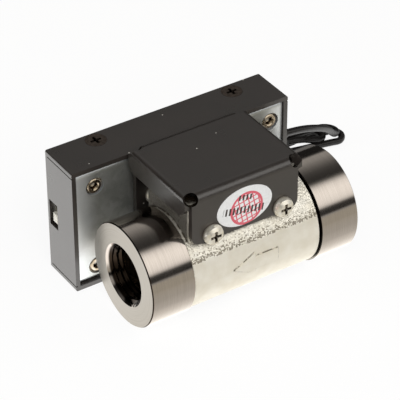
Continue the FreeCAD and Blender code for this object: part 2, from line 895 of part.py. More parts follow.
def sensor_bracket():
    """One bent sheet: an ear in front of the boss, a top, two short sides and a rear flange."""
    body = new_body("sensor_bracket")
    wall = of.bracket_wall
    top = bracket_top
    ear_foot = top - of.ear_drop
    rear_foot = top - of.rear_drop
    ear_left = bracket_left + of.ear_inset
    ear_right = bracket_right - of.ear_inset
    sketch = new_sketch(body, "bracket_strip", "YZ", offset=ear_left)
    polygon(sketch, [
        (ear_face, ear_foot),
        (ear_face, top),
        (rim_y, top),
        (rim_y, rear_foot),
        (rim_y - wall, rear_foot),
        (rim_y - wall, top - wall),
        (ear_face + wall, top - wall),
        (ear_face + wall, ear_foot),
    ])
    pad(body, sketch, ear_right - ear_left)
    bends = (
        ("outer_bends", ((ear_face, top), (rim_y, top)), of.bracket_bend),
        ("inner_bends", ((ear_face + wall, top - wall), (rim_y - wall, top - wall)), of.bracket_bend - wall),
    )
    for name, corners, radius in bends:
        soften(body, name, lambda edge, middle, corners=corners: (
            runs_along(edge, ALONG_X)
            and any(near(middle.y, y) and near(middle.z, z) for y, z in corners)
        ), radius)

    # each side wing carries a short flange that is folded down
    side_front = ear_face + of.side_inset
    side_rear = rim_y - of.side_inset
    side_foot = top - of.bracket_flange
    wings = (
        ("left_wing", bracket_left, ear_left, bracket_left),
        ("right_wing", ear_right, bracket_right, bracket_right - wall),
    )
    for name, start_x, end_x, flange_x in wings:
        sketch = new_sketch(body, name, "XY", offset=top - wall)
        rectangle(sketch, start_x, side_front, end_x, side_rear)
        pad(body, sketch, wall)
        sketch = new_sketch(body, name + "_flange", "YZ", offset=flange_x)
        cut = of.bracket_flange_cut
        polygon(sketch, [
            (side_front, side_foot + cut), (side_front, top), (side_rear, top),
            (side_rear, side_foot + of.rear_cut), (side_rear - of.rear_cut, side_foot),
            (side_front + cut, side_foot),
        ])
        pad(body, sketch, wall)
    soften(body, "side_bends", lambda edge, middle: (
        runs_along(edge, ALONG_Y) and near(middle.z, top)
        and (near(middle.x, bracket_left) or near(middle.x, bracket_right))
    ), of.side_bend)
    soften(body, "ear_corners", lambda edge, middle: (
        runs_along(edge, ALONG_Y) and (near(middle.z, ear_foot) or near(middle.z, rear_foot))
    ), of.ear_round)

    # round corner reliefs, punched where three bends meet
    relief_reach = 6.0
    for corner, (side_x, end_y) in enumerate([(-1, -1), (1, -1), (-1, 1), (1, 1)]):
        middle_x = ear_left if side_x < 0 else ear_right
        middle_y = (ear_face if end_y < 0 else rim_y) - end_y * 0.6
        relief = body.newObject("PartDesign::SubtractiveCylinder", "corner_relief_%d" % corner)
        bind(relief, "Radius", of.relief_dia / 2)
        relief.Height = relief_reach
        inwards = Vector(-side_x, -end_y, -1)
        relief.Placement = Placement(Vector(), Rotation(ALONG_Z, inwards))
        bind(relief, "Placement.Base.x", middle_x + side_x * 1.6)
        bind(relief, "Placement.Base.y", middle_y + end_y * 1.6)
        bind(relief, "Placement.Base.z", top - 0.6 + 1.6)
    body.Tip = relief

    sketch = new_sketch(body, "ear_holes", "XZ", offset=-ear_face)
    for side in (-1, 1):
        hole_x = boss_mid + of.ear_screw_shift + side * bracket_screw_reach
        circle(sketch, hole_x, of.ear_screw_height, of.screw_dia + 0.1)
    pocket(body, sketch, wall + 0.3)
    sketch = new_sketch(body, "rear_holes", "XZ", offset=wall - rim_y)
    for side in (-1, 1):
        hole_x = boss_mid + side * bracket_screw_reach
        circle(sketch, hole_x, of.rear_screw_height, of.screw_dia + 0.3)
    circle(sketch, lead_x, of.lead_height, of.lead_hole_dia + 2.0)
    pocket(body, sketch, wall + 0.3)
    return finish(body)


def cross_recess(body, name, top, width, reach, depth):
    """A cross-shaped driver recess in a screw's head."""
    sketch = new_sketch(body, name + "_recess", "XY", offset=top)
    arm, half = reach / 2, width / 2
    polygon(sketch, [
        (arm, -half), (arm, half), (half, half), (half, arm), (-half, arm), (-half, half),
        (-arm, half), (-arm, -half), (-half, -half), (-half, -arm), (half, -arm), (half, -half),
    ])
    pocket(body, sketch, depth)


def pan_screw(name, place, facing, diameter, head_dia, head, length, recess_scale=1.0):
    """A pan-headed screw drawn head up, then turned to face its driver."""
    body = new_body(name)
    shank = diameter / 2
    rim = head_dia / 2
    sketch = new_sketch(body, name + "_profile", "XZ")
    polygon(sketch, [
        (0, head), (rim * 0.62, head), (rim * 0.92, head * 0.72), (rim, head * 0.38),
        (rim, 0), (shank, 0), (shank, 0.3 - length), (shank - 0.3, -length), (0, -length),
    ])
    turned(body, sketch, axis="V_Axis")
    cross_recess(body, name, head, of.recess_width * recess_scale,
                 of.recess_reach * recess_scale, of.recess_depth * recess_scale)
    body.Placement = Placement(Vector(), Rotation(ALONG_Z, facing))
    stand_on_floor(body, *place)
    return body


def flat_screw(name, place, facing):
    """A countersunk screw whose head fills the box's wall."""
    body = new_body(name)
    shank = of.screw_dia / 2
    rim = of.flat_head_dia / 2
    sketch = new_sketch(body, name + "_profile", "XZ")
    length = of.housing_screw_len
    polygon(sketch, [
        (0, 0), (rim, 0), (rim, -0.1), (shank, shank - rim - 0.1), (shank, 0.3 - length),
        (shank - 0.3, -length), (0, -length),
    ])
    turned(body, sketch, axis="V_Axis")
    cross_recess(body, name, 0.0, of.recess_width, of.recess_reach, of.recess_depth)
    body.Placement = Placement(Vector(), Rotation(ALONG_Z, facing))
    stand_on_floor(body, *place)
    return body


TO_FRONT, TO_BACK = -ALONG_Y, ALONG_Y


def bracket_screws():
    """Two pan screws through the ear into the boss, two through the rear flange into nuts."""
    ear, rear = [], []
    for number, side in enumerate((-1, 1), start=1):
        ear_x = boss_mid + of.ear_screw_shift + side * bracket_screw_reach
        rear_x = boss_mid + side * bracket_screw_reach
        ear.append(pan_screw(
            "ear_screw_%d" % number, (ear_x, ear_face, of.ear_screw_height), TO_FRONT,
            of.screw_dia, of.pan_head_dia, of.pan_head_height, of.ear_screw_len))
        rear.append(pan_screw(
            "rear_screw_%d" % number, (rear_x, rim_y - of.bracket_wall, of.rear_screw_height), TO_FRONT,
            of.screw_dia, of.pan_head_dia, of.pan_head_height, of.rear_screw_len))
    group("bracket_ear_screws", ear)
    group("bracket_rear_screws", rear)


def clinch_nuts():
    """Two round nuts clinched into the back plate for the bracket's rear screws."""
    nuts = []
    for number, side in enumerate((-1, 1), start=1):
        body = new_body("clinch_nut_%d" % number)
        bore = of.screw_dia / 2 + of.screwed_gap
        neck = of.nut_dia / 2 - 0.5
        outer = of.nut_dia / 2
        sketch = new_sketch(body, "clinch_nut_profile_%d" % number, "XY")
        depth = of.plate_recess + of.plate_wall
        polygon(sketch, [
            (bore, 0), (neck, 0), (neck, depth), (outer, depth), (outer, depth + of.nut_reach - 0.2),
            (outer - 0.2, depth + of.nut_reach), (bore, depth + of.nut_reach),
        ])
        turned(body, sketch, axis="V_Axis")
        nut_x = boss_mid + side * bracket_screw_reach
        stand_on_floor(body, nut_x, rim_y, of.rear_screw_height)
        nuts.append(body)
    group("clinch_nuts", nuts)


def sticker():
    """A thin oval sticker on the ear, just shorter than the space between its screws."""
    body = new_body("ear_sticker")
    sticker_len = 2 * (bracket_screw_reach - of.sticker_screw_inset)
    sketch = new_sketch(body, "sticker_outline", "XZ", offset=-ear_face)
    ellipse(sketch, boss_mid + of.sticker_shift, of.sticker_up, sticker_len, of.sticker_height)
    pad(body, sketch, of.sticker_wall)
    return finish(body)


# --- display box ---------------------------------------------------------------------------

def countersink(body, name, x, y, surface, into):
    """Cuts a countersunk screw hole through a horizontal wall whose outside is the surface."""
    sketch = new_sketch(body, name, "XZ", offset=-1 * y, shift=x)
    mouth = of.flat_head_dia / 2 + 0.05
    hole = of.screw_dia / 2 + 0.1
    cone = mouth - hole
    polygon(sketch, [
        (0, surface - into * 0.5), (mouth, surface - into * 0.5), (mouth, surface + into * 0.1),
        (hole, surface + into * (cone + 0.1)), (hole, surface + into * (cone + of.box_wall)),
        (0, surface + into * (cone + of.box_wall)),
    ])
    turned(body, sketch, "Groove", axis="V_Axis")


def housing_screw_places():
    """The four countersunk screws: x, the wall's outside, and the way in."""
    for wall, surface, into in (("top", box_top, -1), ("bottom", floor_level, 1)):
        for number, place_x in enumerate((housing_screw_first, housing_screw_last), start=1):
            yield "%s_%d" % (wall, number), place_x, surface, into


def display_housing():
    """The folded sheet tray: open at the back, with the display's window in its face."""
    body = new_body("display_housing")
    wall = of.box_wall
    sketch = new_sketch(body, "tray_block", "XZ", offset=-rim_y)
    rectangle(sketch, box_left, floor_level, box_right, box_top)
    pad(body, sketch, of.box_depth, Reversed=True)
    soften(body, "tray_corners", lambda edge, middle: (
        runs_along(edge, ALONG_Y) or near(middle.y, face_y)
    ), of.box_edge)
    sketch = new_sketch(body, "tray_inside", "XZ", offset=-rim_y)
    rectangle(sketch, box_left + wall, floor_level + wall, box_right - wall, box_top - wall)
    pocket(body, sketch, of.box_depth - wall)
    sketch = new_sketch(body, "window_opening", "XZ", offset=-panel_y)
    half_len, half_height = window_len / 2, of.window_height / 2
    rectangle(sketch, box_mid - half_len, box_mid_up - half_height,
              box_mid + half_len, box_mid_up + half_height)
    pocket(body, sketch, wall + 0.3)
    sketch = new_sketch(body, "switch_slot", "YZ", offset=box_left)
    half_width, half_height = of.slot_width / 2, of.slot_height / 2
    rectangle(sketch, of.slot_y - half_width, box_mid_up - half_height,
              of.slot_y + half_width, box_mid_up + half_height)
    pocket(body, sketch, wall + 0.3, Reversed=True)
    sketch = new_sketch(body, "cable_hole", "YZ", offset=box_right)
    circle(sketch, of.exit_y, of.exit_up, of.grommet_neck + 0.1)
    pocket(body, sketch, wall + 0.3)
    for name, place_x, surface, into in housing_screw_places():
        countersink(body, "countersink_" + name, place_x, of.housing_screw_y, surface, into)

    # the side walls are folded up between the top and the bottom, with a seam left open at each
    for name, side_x, inwards in (("left", box_left, True), ("right", box_right, False)):
        sketch = new_sketch(body, name + "_seams", "YZ", offset=side_x)
        for seam_foot in (box_top - of.seam_drop - of.seam_width, floor_level + of.seam_drop):
            rectangle(sketch, rim_y - 0.5, seam_foot, panel_y, seam_foot + of.seam_width)
        pocket(body, sketch, of.seam_depth, Reversed=inwards)
    return finish(body)


plate_left = box_left + of.box_wall + of.plate_gap
plate_right = box_right - of.box_wall - of.plate_gap
plate_top = box_top - of.box_wall - of.plate_gap
plate_foot = floor_level + of.box_wall + of.plate_gap


def standoff_places():
    for place_x in (plate_left + of.standoff_left, plate_right - of.standoff_right):
        for place_z in (plate_foot + of.standoff_foot, plate_top - of.standoff_top):
            yield place_x, place_z


def back_plate():
    """The galvanised back plate, with its top and bottom edges folded into the tray."""
    body = new_body("back_plate")
    wall = of.plate_wall
    fold = plate_y + of.plate_flange
    sketch = new_sketch(body, "plate_profile", "YZ", offset=plate_left)
    polygon(sketch, [
        (plate_y, plate_foot), (plate_y, plate_top), (fold, plate_top), (fold, plate_top - wall),
        (plate_back, plate_top - wall), (plate_back, plate_foot + wall), (fold, plate_foot + wall),
        (fold, plate_foot),
    ])
    pad(body, sketch, plate_right - plate_left)
    soften(body, "plate_bends", lambda edge, middle: (
        runs_along(edge, ALONG_X) and near(middle.y, plate_y)
    ), of.plate_bend)
    sketch = new_sketch(body, "plate_holes", "XZ", offset=-plate_y)
    for hole_x, hole_z in standoff_places():
        circle(sketch, hole_x, hole_z, of.standoff_hole)
    for side in (-1, 1):
        circle(sketch, boss_mid + side * bracket_screw_reach, of.rear_screw_height,
               of.nut_dia - 1.0 + 0.1)
    circle(sketch, lead_x, of.lead_height, lead_neck + 2 * of.grommet_gap)
    pocket(body, sketch, wall + 0.3)
    return finish(body)


def standoffs():
    """Four threaded standoffs: a ring shows in each hole of the plate, the rest carries the board."""
    pieces = []
    for number, (place_x, place_z) in enumerate(standoff_places(), start=1):
        body = new_body("standoff_%d" % number)
        bore = of.standoff_bore / 2
        outer = of.standoff_dia / 2
        base = of.standoff_base_dia / 2
        end = of.plate_wall + of.standoff_reach
        sketch = new_sketch(body, "standoff_profile_%d" % number, "XY")
        polygon(sketch, [
            (bore + 0.2, 0.1), (outer - 0.2, 0.1), (outer, 0.3), (outer, of.plate_wall),
            (base, of.plate_wall), (base, of.plate_wall + of.standoff_base),
            (outer, of.plate_wall + of.standoff_base), (outer, end), (bore, end), (bore, 0.3),
        ])
        turned(body, sketch, axis="V_Axis")
        stand_on_floor(body, place_x, plate_y, place_z)
        pieces.append(body)
    group("plate_standoffs", pieces)


def display_board():
    """The display's circuit board, drilled for the screws into the standoffs."""
    body = new_body("display_board")
    half_len, half_height = board_len / 2, board_height / 2
    sketch = new_sketch(body, "display_board_outline", "XZ", offset=-board_y)
    rectangle(sketch, box_mid - half_len, box_mid_up - half_height,
              box_mid + half_len, box_mid_up + half_height)
    pad(body, sketch, of.board_wall, Reversed=True)
    soften(body, "board_corners", lambda edge, middle: runs_along(edge, ALONG_Y), 0.8)
    sketch = new_sketch(body, "board_screw_holes", "XZ", offset=-board_y)
    for hole_x, hole_z in standoff_places():
        circle(sketch, hole_x, hole_z, of.board_screw_dia + 0.4)
    pocket(body, sketch, of.board_wall + 0.2)
    return finish(body)


def board_screws():
    """Four small pan screws through the board into the standoffs."""
    pieces = []
    for number, (place_x, place_z) in enumerate(standoff_places(), start=1):
        pieces.append(pan_screw(
            "board_screw_%d" % number, (place_x, board_front, place_z), TO_BACK,
            of.board_screw_dia, of.board_screw_head_dia, of.board_screw_head,
            of.board_screw_len, 0.7))
    group("board_screws", pieces)


def display_frame():
    """The moulded frame round the digits: it presses the window forward and takes the box's screws."""
    body = new_body("display_frame")
    left = housing_screw_first - of.frame_margin
    right = housing_screw_last + of.frame_margin
    foot = floor_level + of.box_wall + of.frame_gap
    top = box_top - of.box_wall - of.frame_gap
    sketch = new_sketch(body, "frame_block", "XZ", offset=-board_front)
    rectangle(sketch, left, foot, right, top)
    pad(body, sketch, panel_y - 0.05 - board_front, Reversed=True)
    sketch = new_sketch(body, "frame_window", "XZ", offset=-board_front)
    half_window, half_height = frame_window_len / 2, of.frame_window_height / 2
    rectangle(sketch, box_mid - half_window, box_mid_up - half_height,
              box_mid + half_window, box_mid_up + half_height)
    pocket(body, sketch, lip_y - board_front + 0.2)
    sketch = new_sketch(body, "lip_recess", "XZ", offset=-lip_y)
    half_height = of.window_height / 2 + of.window_lip
    rectangle(sketch, left - 1.0, box_mid_up - half_height, right + 1.0, box_mid_up + half_height)
    pocket(body, sketch, of.window_lip_wall + 0.2)
    for name, place_x, surface, into in housing_screw_places():
        sketch = new_sketch(body, "frame_screw_hole_" + name, "XY", offset=surface)
        circle(sketch, place_x, of.housing_screw_y, of.screw_dia + 2 * of.screwed_gap)
        pocket(body, sketch, of.housing_screw_len + 0.5, Reversed=(into > 0))
    return finish(body)


def display_window():
    """The smoked window: its face fills the opening, its lip sits behind the sheet."""
    body = new_body("display_window")
    half_len = window_len / 2 - of.window_gap
    half_height = of.window_height / 2 - of.window_gap
    lip = of.window_lip
    sketch = new_sketch(body, "window_lip_outline", "XZ", offset=-lip_y)
    rectangle(sketch, box_mid - half_len - lip, box_mid_up - half_height - lip,
              box_mid + half_len + lip, box_mid_up + half_height + lip)
    pad(body, sketch, of.window_lip_wall, Reversed=True)
    sketch = new_sketch(body, "window_face", "XZ", offset=-panel_y)
    rectangle(sketch, box_mid - half_len, box_mid_up - half_height,
              box_mid + half_len, box_mid_up + half_height)
    pad(body, sketch, of.box_wall - 0.1, Reversed=True)
    return finish(body)


def slab(name, x0, y0, z0, x1, y1, z1):
    """A plain block between two corners."""
    block = doc.addObject("Part::Box", name)
    bind(block, "Length", x1 - x0)
    bind(block, "Width", y1 - y0)
    bind(block, "Height", z1 - z0)
    block.Label = name
    return finish(block, x0, y0, z0)


def led_module():
    """The three-digit display block on the board, behind the window."""
    half_len = frame_window_len / 2 - of.led_gap
    half_height = of.frame_window_height / 2 - of.led_gap_up
    slab("led_module", box_mid - half_len, board_front, box_mid_up - half_height,
         box_mid + half_len, lip_y - 0.05, box_mid_up + half_height)


def controller_chip():
    """The controller on the back of the board, in the gap over the back plate."""
    half = of.chip_len / 2
    slab("controller_chip", box_mid - half, board_y - of.chip_wall, floor_level + 5.0,
         box_mid + half, board_y, floor_level + 5.0 + of.chip_len)


cable_start = box_right - of.box_wall - 2.5
socket_left = cable_start - of.socket_len


def cable_socket():
    """The socket on the board that the output cable starts from."""
    half_height = of.socket_height / 2
    slab("cable_socket", socket_left, board_front, of.exit_up - half_height,
         cable_start, board_front + of.socket_depth, of.exit_up + half_height)


switch_left = box_left + of.box_wall
knob_foot = box_mid_up - of.slot_height / 2 + of.knob_low


def switch_body():
    """The slide switch's case behind the slot, with a track for its knob and legs to the board."""
    body = new_body("switch_body")
    half_depth, half_height = of.switch_depth / 2, of.switch_height / 2
    front = of.slot_y - half_depth
    sketch = new_sketch(body, "switch_case", "YZ", offset=switch_left)
    rectangle(sketch, front, box_mid_up - half_height,
              of.slot_y + half_depth - 0.05, box_mid_up + half_height)
    pad(body, sketch, of.switch_len)
    sketch = new_sketch(body, "switch_track", "YZ", offset=switch_left)
    half_width = of.knob_width / 2 + of.knob_gap
    rectangle(sketch, of.slot_y - half_width, knob_foot - of.knob_gap, of.slot_y + half_width,
              knob_foot + of.knob_height + of.knob_travel + of.knob_gap)
    pocket(body, sketch, of.switch_track_depth, Reversed=True)
    sketch = new_sketch(body, "switch_legs", "XZ", offset=-front - 0.3)
    leg_left = switch_left + of.switch_len - 0.3 - of.switch_leg
    for leg in (-1, 0, 1):
        leg_foot = box_mid_up + leg * of.knob_height - of.switch_leg / 2
        rectangle(sketch, leg_left, leg_foot, leg_left + of.switch_leg, leg_foot + of.switch_leg)
    pad(body, sketch, front + 0.3 - board_front)
    return finish(body)


def switch_knob():
    """The white knob that slides up in the switch's track."""
    body = new_body("switch_knob")
    knob_face = box_left + of.knob_inset
    sketch = new_sketch(body, "knob_outline", "YZ", offset=knob_face)
    half_width = of.knob_width / 2
    rectangle(sketch, of.slot_y - half_width, knob_foot, of.slot_y + half_width, knob_foot + of.knob_height)
    pad(body, sketch, switch_left + of.switch_track_depth - 0.1 - knob_face)
    soften(body, "knob_edges", lambda edge, middle: near(middle.x, knob_face), 0.25)
    return finish(body)


def housing_screws():
    """Four countersunk screws through the box's top and bottom into the moulded frame."""
    pieces = []
    for name, place_x, surface, into in housing_screw_places():
        facing = -into * ALONG_Z
        pieces.append(flat_screw("housing_screw_" + name, (place_x, of.housing_screw_y, surface), facing))
    group("housing_screws", pieces)


# --- output cable --------------------------------------------------------------------------

def cable_grommet():
    """The strain relief in the box's right wall."""
    body = new_body("cable_grommet")
    bore = of.cable_dia / 2 + 0.05
    neck = of.grommet_neck / 2
    lip = of.grommet_dia / 2
    inside = -of.box_wall - 0.05 - of.grommet_flange
    outside = 0.05 + of.grommet_flange
    sketch = new_sketch(body, "cable_grommet_profile", "XY")
    polygon(sketch, [
        (inside, bore), (inside, lip), (-of.box_wall - 0.05, lip), (-of.box_wall - 0.05, neck),
        (0.05, neck), (0.05, lip), (outside - 0.3, lip), (outside, lip - 0.3),
        (outside, neck - 0.1), (outside + of.grommet_nose, bore + 0.45), (outside + of.grommet_nose, bore),
    ])
    turned(body, sketch)
    return finish(body, box_right, of.exit_y, of.exit_up)


HANK_TURN = -13.0  # degrees about +Z
LYING = number_of(floor_level) + number_of(of.cable_dia) / 2 + 0.15


def cable_route():
    """From the socket in the box, out through the grommet and down into the hank's right end."""
    start = Vector(number_of(cable_start), number_of(of.exit_y), number_of(of.exit_up))
    return [
        start,
        start + Vector(9.0, 0, 0),
        start + Vector(20.5, 2.8, -5.1),
        Vector(73.9, 29.6, LYING + 2.0),
    ]


def tail_route():
    """From the hank's left end along the floor to the plug, behind the box."""
    plug_end = number_of(of.plug_start_x + of.plug_len)
    return [
        Vector(46.8, 36.4, LYING + 0.6),
        Vector(38.0, 37.4, LYING),
        Vector(29.6, 32.4, LYING),
        Vector(plug_end - 0.6, number_of(of.plug_mid_y), number_of(floor_level + of.plug_height / 2)),
    ]


def tube_along(points, radius):
    """A round tube along straight runs that are joined by tangent arcs."""
    edges, at, length = [], points[0], 0.0
    for before, corner, after in zip(points, points[1:], points[2:]):
        run_in, run_out = corner - before, after - corner
        half_turn = run_in.getAngle(run_out) / 2
        shorter = min(run_in.Length, run_out.Length)
        bend = 0.45 * shorter / math.tan(half_turn)
        reach = 0.45 * shorter
        into = Vector(run_in).normalize()
        out = Vector(run_out).normalize()
        arc_start, arc_end = corner - into * reach, corner + out * reach
        inwards = (out - into).normalize()
        middle = corner + inwards * (bend / math.cos(half_turn) - bend)
        edges.append(Part.LineSegment(at, arc_start).toShape())
        edges.append(Part.Arc(arc_start, middle, arc_end).toShape())
        at = arc_end
        print("bend radius %.1f mm, turn %.0f degrees" % (bend, math.degrees(2 * half_turn)))
    edges.append(Part.LineSegment(at, points[-1]).toShape())
    path = Part.Wire(edges)
    section = Part.Wire(Part.Circle(points[0], points[1] - points[0], radius).toShape())
    tube = path.makePipeShell([section], True, False)
    expected = math.pi * radius ** 2 * path.Length
    if abs(tube.Volume - expected) > 0.01 * expected:
        raise ValueError("a cable tube has the wrong volume")
    return tube


def cable_tube(name, route):
    """A stretch of the output cable, from the sheet's diameter."""
    tube = doc.addObject("Part::Feature", name)
    tube.Shape = tube_along(route, number_of(of.cable_dia) / 2)
    tube.Label = name
    return finish(tube)


def lay_by_hank(body):
    """Turns a piece drawn about the hank's middle and lays it behind the box."""
    body.Placement = Placement(Vector(), Rotation(ALONG_Z, HANK_TURN))
    return finish(body, of.hank_mid_x, of.hank_mid_y, floor_level)


def cable_hank():
    """The outer shape of the folded, tied stretch of cable."""
    body = new_body("cable_hank")
    half_len, half_width = of.hank_len / 2, of.hank_width / 2
    sketch = new_sketch(body, "hank_outline", "XY", offset=of.tie_wall)
    rectangle(sketch, -half_len, -half_width, half_len, half_width)
    pad(body, sketch, of.hank_height)
    soften(body, "hank_ends", lambda edge, middle: runs_along(edge, ALONG_Z), half_width - 0.2)
    soften(body, "hank_round_over", lambda edge, middle: (
        near(middle.z, of.tie_wall) or near(middle.z, of.tie_wall + of.hank_height)
    ), of.hank_round)
    return lay_by_hank(body)


def hank_tie():
    """The twist tie round the middle of the hank."""
    body = new_body("hank_tie")
    half_width, height = of.hank_width / 2, of.hank_height
    wall = of.tie_wall
    for name, inset in (("tie_outline", 0.0), ("tie_opening", wall - 0.02)):
        sketch = new_sketch(body, name, "YZ", offset=-of.tie_len / 2)
        side = half_width + wall - inset
        foot, top = inset + 0.01, height + 2 * wall - inset
        cut = 0.55 * (of.hank_round + wall - inset)
        polygon(sketch, [
            (cut - side, foot), (side - cut, foot), (side, foot + cut), (side, top - cut),
            (side - cut, top), (cut - side, top), (-side, top - cut), (-side, foot + cut),
        ])
        if name == "tie_outline":
            pad(body, sketch, of.tie_len)
        else:
            pocket(body, sketch, of.tie_len, Reversed=True)
    return lay_by_hank(body)


def cable_plug():
    """The three-pin plug at the cable's end, hollow in front for its pins."""
    body = new_body("cable_plug")
    half_width = of.plug_width / 2
    sketch = new_sketch(body, "plug_case", "XY")
    rectangle(sketch, 0, -half_width, of.plug_len, half_width)
    pad(body, sketch, of.plug_height)
    soften(body, "plug_edges", lambda edge, middle: runs_along(edge, ALONG_X), 0.5)
    sketch = new_sketch(body, "plug_cavity", "YZ")
    wall = 0.9
    rectangle(sketch, wall - half_width, wall, half_width - wall, of.plug_height - wall)
    pocket(body, sketch, of.plug_cavity, Reversed=True)
    sketch = new_sketch(body, "plug_pins", "YZ", offset=of.plug_cavity + 0.5)
    half_pin = of.plug_pin / 2
    middle = of.plug_height / 2
    for pin in (-1, 0, 1):
        pin_y = pin * (of.plug_pitch * 0.8)
        rectangle(sketch, pin_y - half_pin, middle - half_pin, pin_y + half_pin, middle + half_pin)
    pad(body, sketch, of.plug_cavity - 0.5, Reversed=True)
    return body


# --- the assembly --------------------------------------------------------------------------

collar("outlet_collar", 0, 1, of.outlet_collar_len)
collar("inlet_collar", pipe_len, -1, of.inlet_collar_len)
meter_body()
seal("outlet_seal", (body_start + of.port_depth + of.stub_gap) / 2)
seal("inlet_seal", (body_end + pipe_len - of.port_depth - of.stub_gap) / 2)
straightener("outlet_straightener", of.port_depth, 1)
straightener("inlet_straightener", pipe_len - of.port_depth, -1)
bush("outlet_bush", outlet_hub_end, 1)
bush("inlet_bush", inlet_hub_end, -1)
rotor_shaft()
turbine_rotor()
magnet_ring()
sensor_board()
hall_sensor()
lead_plug()
sensor_lead()
lead_grommet()
boss_gasket()
sensor_bracket()
bracket_screws()
clinch_nuts()
sticker()
display_housing()
back_plate()
standoffs()
display_board()
board_screws()
display_frame()
display_window()
led_module()
controller_chip()
cable_socket()
switch_body()
switch_knob()
housing_screws()
cable_grommet()
cable_tube("output_cable", cable_route())
cable_hank()
hank_tie()
cable_tube("cable_tail", tail_route())
plug = cable_plug()
finish(plug, of.plug_start_x, of.plug_mid_y, floor_level)

doc.recompute()
for thing in doc.Objects:
    if "Invalid" in thing.State or "Error" in thing.State:
        raise ValueError("%s is %s" % (thing.Label, thing.State))
for thing in doc.Objects:
    base = getattr(thing, "BaseFeature", None)
    if base is None or thing.TypeId == "PartDesign::Body":
        continue
    added = thing.Shape.Volume - base.Shape.Volume
    if thing.TypeId in ("PartDesign::Pocket", "PartDesign::Groove") and added > -0.001:
        raise ValueError("%s cuts nothing" % thing.Label)
    if thing.TypeId in ("PartDesign::Pad", "PartDesign::Revolution") and added < 0.001:
        raise ValueError("%s adds nothing" % thing.Label)
for thing in sub_parts:
    if thing.Shape.isNull() or not thing.Shape.isValid():
        raise ValueError("%s has no valid shape" % thing.Label)
    thing.Shape.exportStep("parts/%s.step" % thing.Label)
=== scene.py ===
import math

import bmesh
import bpy
from mathutils import Matrix, Vector


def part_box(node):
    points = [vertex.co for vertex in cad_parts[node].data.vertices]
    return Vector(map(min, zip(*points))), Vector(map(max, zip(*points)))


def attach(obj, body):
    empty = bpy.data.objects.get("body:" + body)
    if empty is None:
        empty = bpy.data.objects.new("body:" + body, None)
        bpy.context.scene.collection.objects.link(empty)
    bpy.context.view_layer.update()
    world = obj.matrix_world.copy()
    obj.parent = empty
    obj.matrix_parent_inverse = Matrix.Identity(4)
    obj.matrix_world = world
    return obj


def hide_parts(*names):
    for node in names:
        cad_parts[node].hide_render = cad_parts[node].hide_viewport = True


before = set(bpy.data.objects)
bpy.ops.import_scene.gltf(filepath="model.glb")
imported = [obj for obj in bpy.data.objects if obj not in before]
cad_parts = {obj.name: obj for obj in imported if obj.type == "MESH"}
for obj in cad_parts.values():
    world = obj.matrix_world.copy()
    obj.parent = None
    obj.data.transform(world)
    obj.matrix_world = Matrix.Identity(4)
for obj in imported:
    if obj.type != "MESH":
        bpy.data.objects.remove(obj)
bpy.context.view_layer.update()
scene = bpy.context.scene


# Camera: a long lens from the front left and above, looking down at about 36 degrees on the
# outlet end of the pipe. Places below are millimetres from the middle of the outlet port's face.
port_low, port_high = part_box("outlet_collar")
port_face = Vector((port_low[0], (port_low[1] + port_high[1]) / 2, (port_low[2] + port_high[2]) / 2))


def place(x, y, z):
    """A point given in millimetres from the outlet port, in the scene's metres."""
    return port_face + Vector((x, y, z)) / 1000


turn_left, look_down, tilt = math.radians(-32.914), math.radians(35.7), math.radians(-0.286)
back = Vector((math.sin(turn_left) * math.cos(look_down), -math.cos(turn_left) * math.cos(look_down),
               math.sin(look_down)))
level = Vector((math.cos(turn_left), math.sin(turn_left), 0))
upright = back.cross(level)
right = math.cos(tilt) * level + math.sin(tilt) * upright
up = -math.sin(tilt) * level + math.cos(tilt) * upright
lens = bpy.data.cameras.new("product_lens")
lens.sensor_width, lens.lens = 36.0, 194.463
lens.shift_x, lens.shift_y = 0.01582, 0.00707
lens.clip_start, lens.clip_end = 0.01, 20.0
camera = bpy.data.objects.new("product_camera", lens)
scene.collection.objects.link(camera)
# it stands 460 mm off, a little to the left of the line through the meter's middle
stand = place(32.0, 8.0, 0.0) + (back * 460.449 - right * 8.0805 + up * 0.6193) / 1000
camera.matrix_world = Matrix.Translation(stand) @ Matrix((
    (right.x, up.x, back.x, 0), (right.y, up.y, back.y, 0), (right.z, up.z, back.z, 0), (0, 0, 0, 1)))
scene.camera = camera
scene.view_settings.view_transform = "Standard"


# Studio: a white table under a tent that runs along the pipe. A soft light fills the tent in
# front, with a dark gap under it and a dark ceiling, which gives the turned metal its bands.
def srgb(text):
    """A colour given as sRGB hex, turned to linear."""
    parts = [int(text[i:i + 2], 16) / 255 for i in (1, 3, 5)]
    return tuple(v / 12.92 if v <= 0.04045 else ((v + 0.055) / 1.055) ** 2.4 for v in parts) + (1.0,)


def add(tree, kind, links=None, ramp=(), **settings):
    """Adds a node: settings are its own properties, links its sockets' values or sources, ramp its stops."""
    made = tree.nodes.new("ShaderNode" + kind)
    for key, value in settings.items():
        setattr(made, key, value)
    for socket, value in (links or {}).items():
        if isinstance(value, bpy.types.NodeSocket):
            tree.links.new(value, made.inputs[socket])
        else:
            made.inputs[socket].default_value = value
    if ramp:
        stops = made.color_ramp.elements
        for stop, (at, colour) in ((stops[0], ramp[0]), (stops[-1], ramp[-1])):
            stop.position = at
            stop.color = srgb(colour) if isinstance(colour, str) else colour
        for at, colour in ramp[1:-1]:
            stops.new(at).color = srgb(colour) if isinstance(colour, str) else colour
    return made


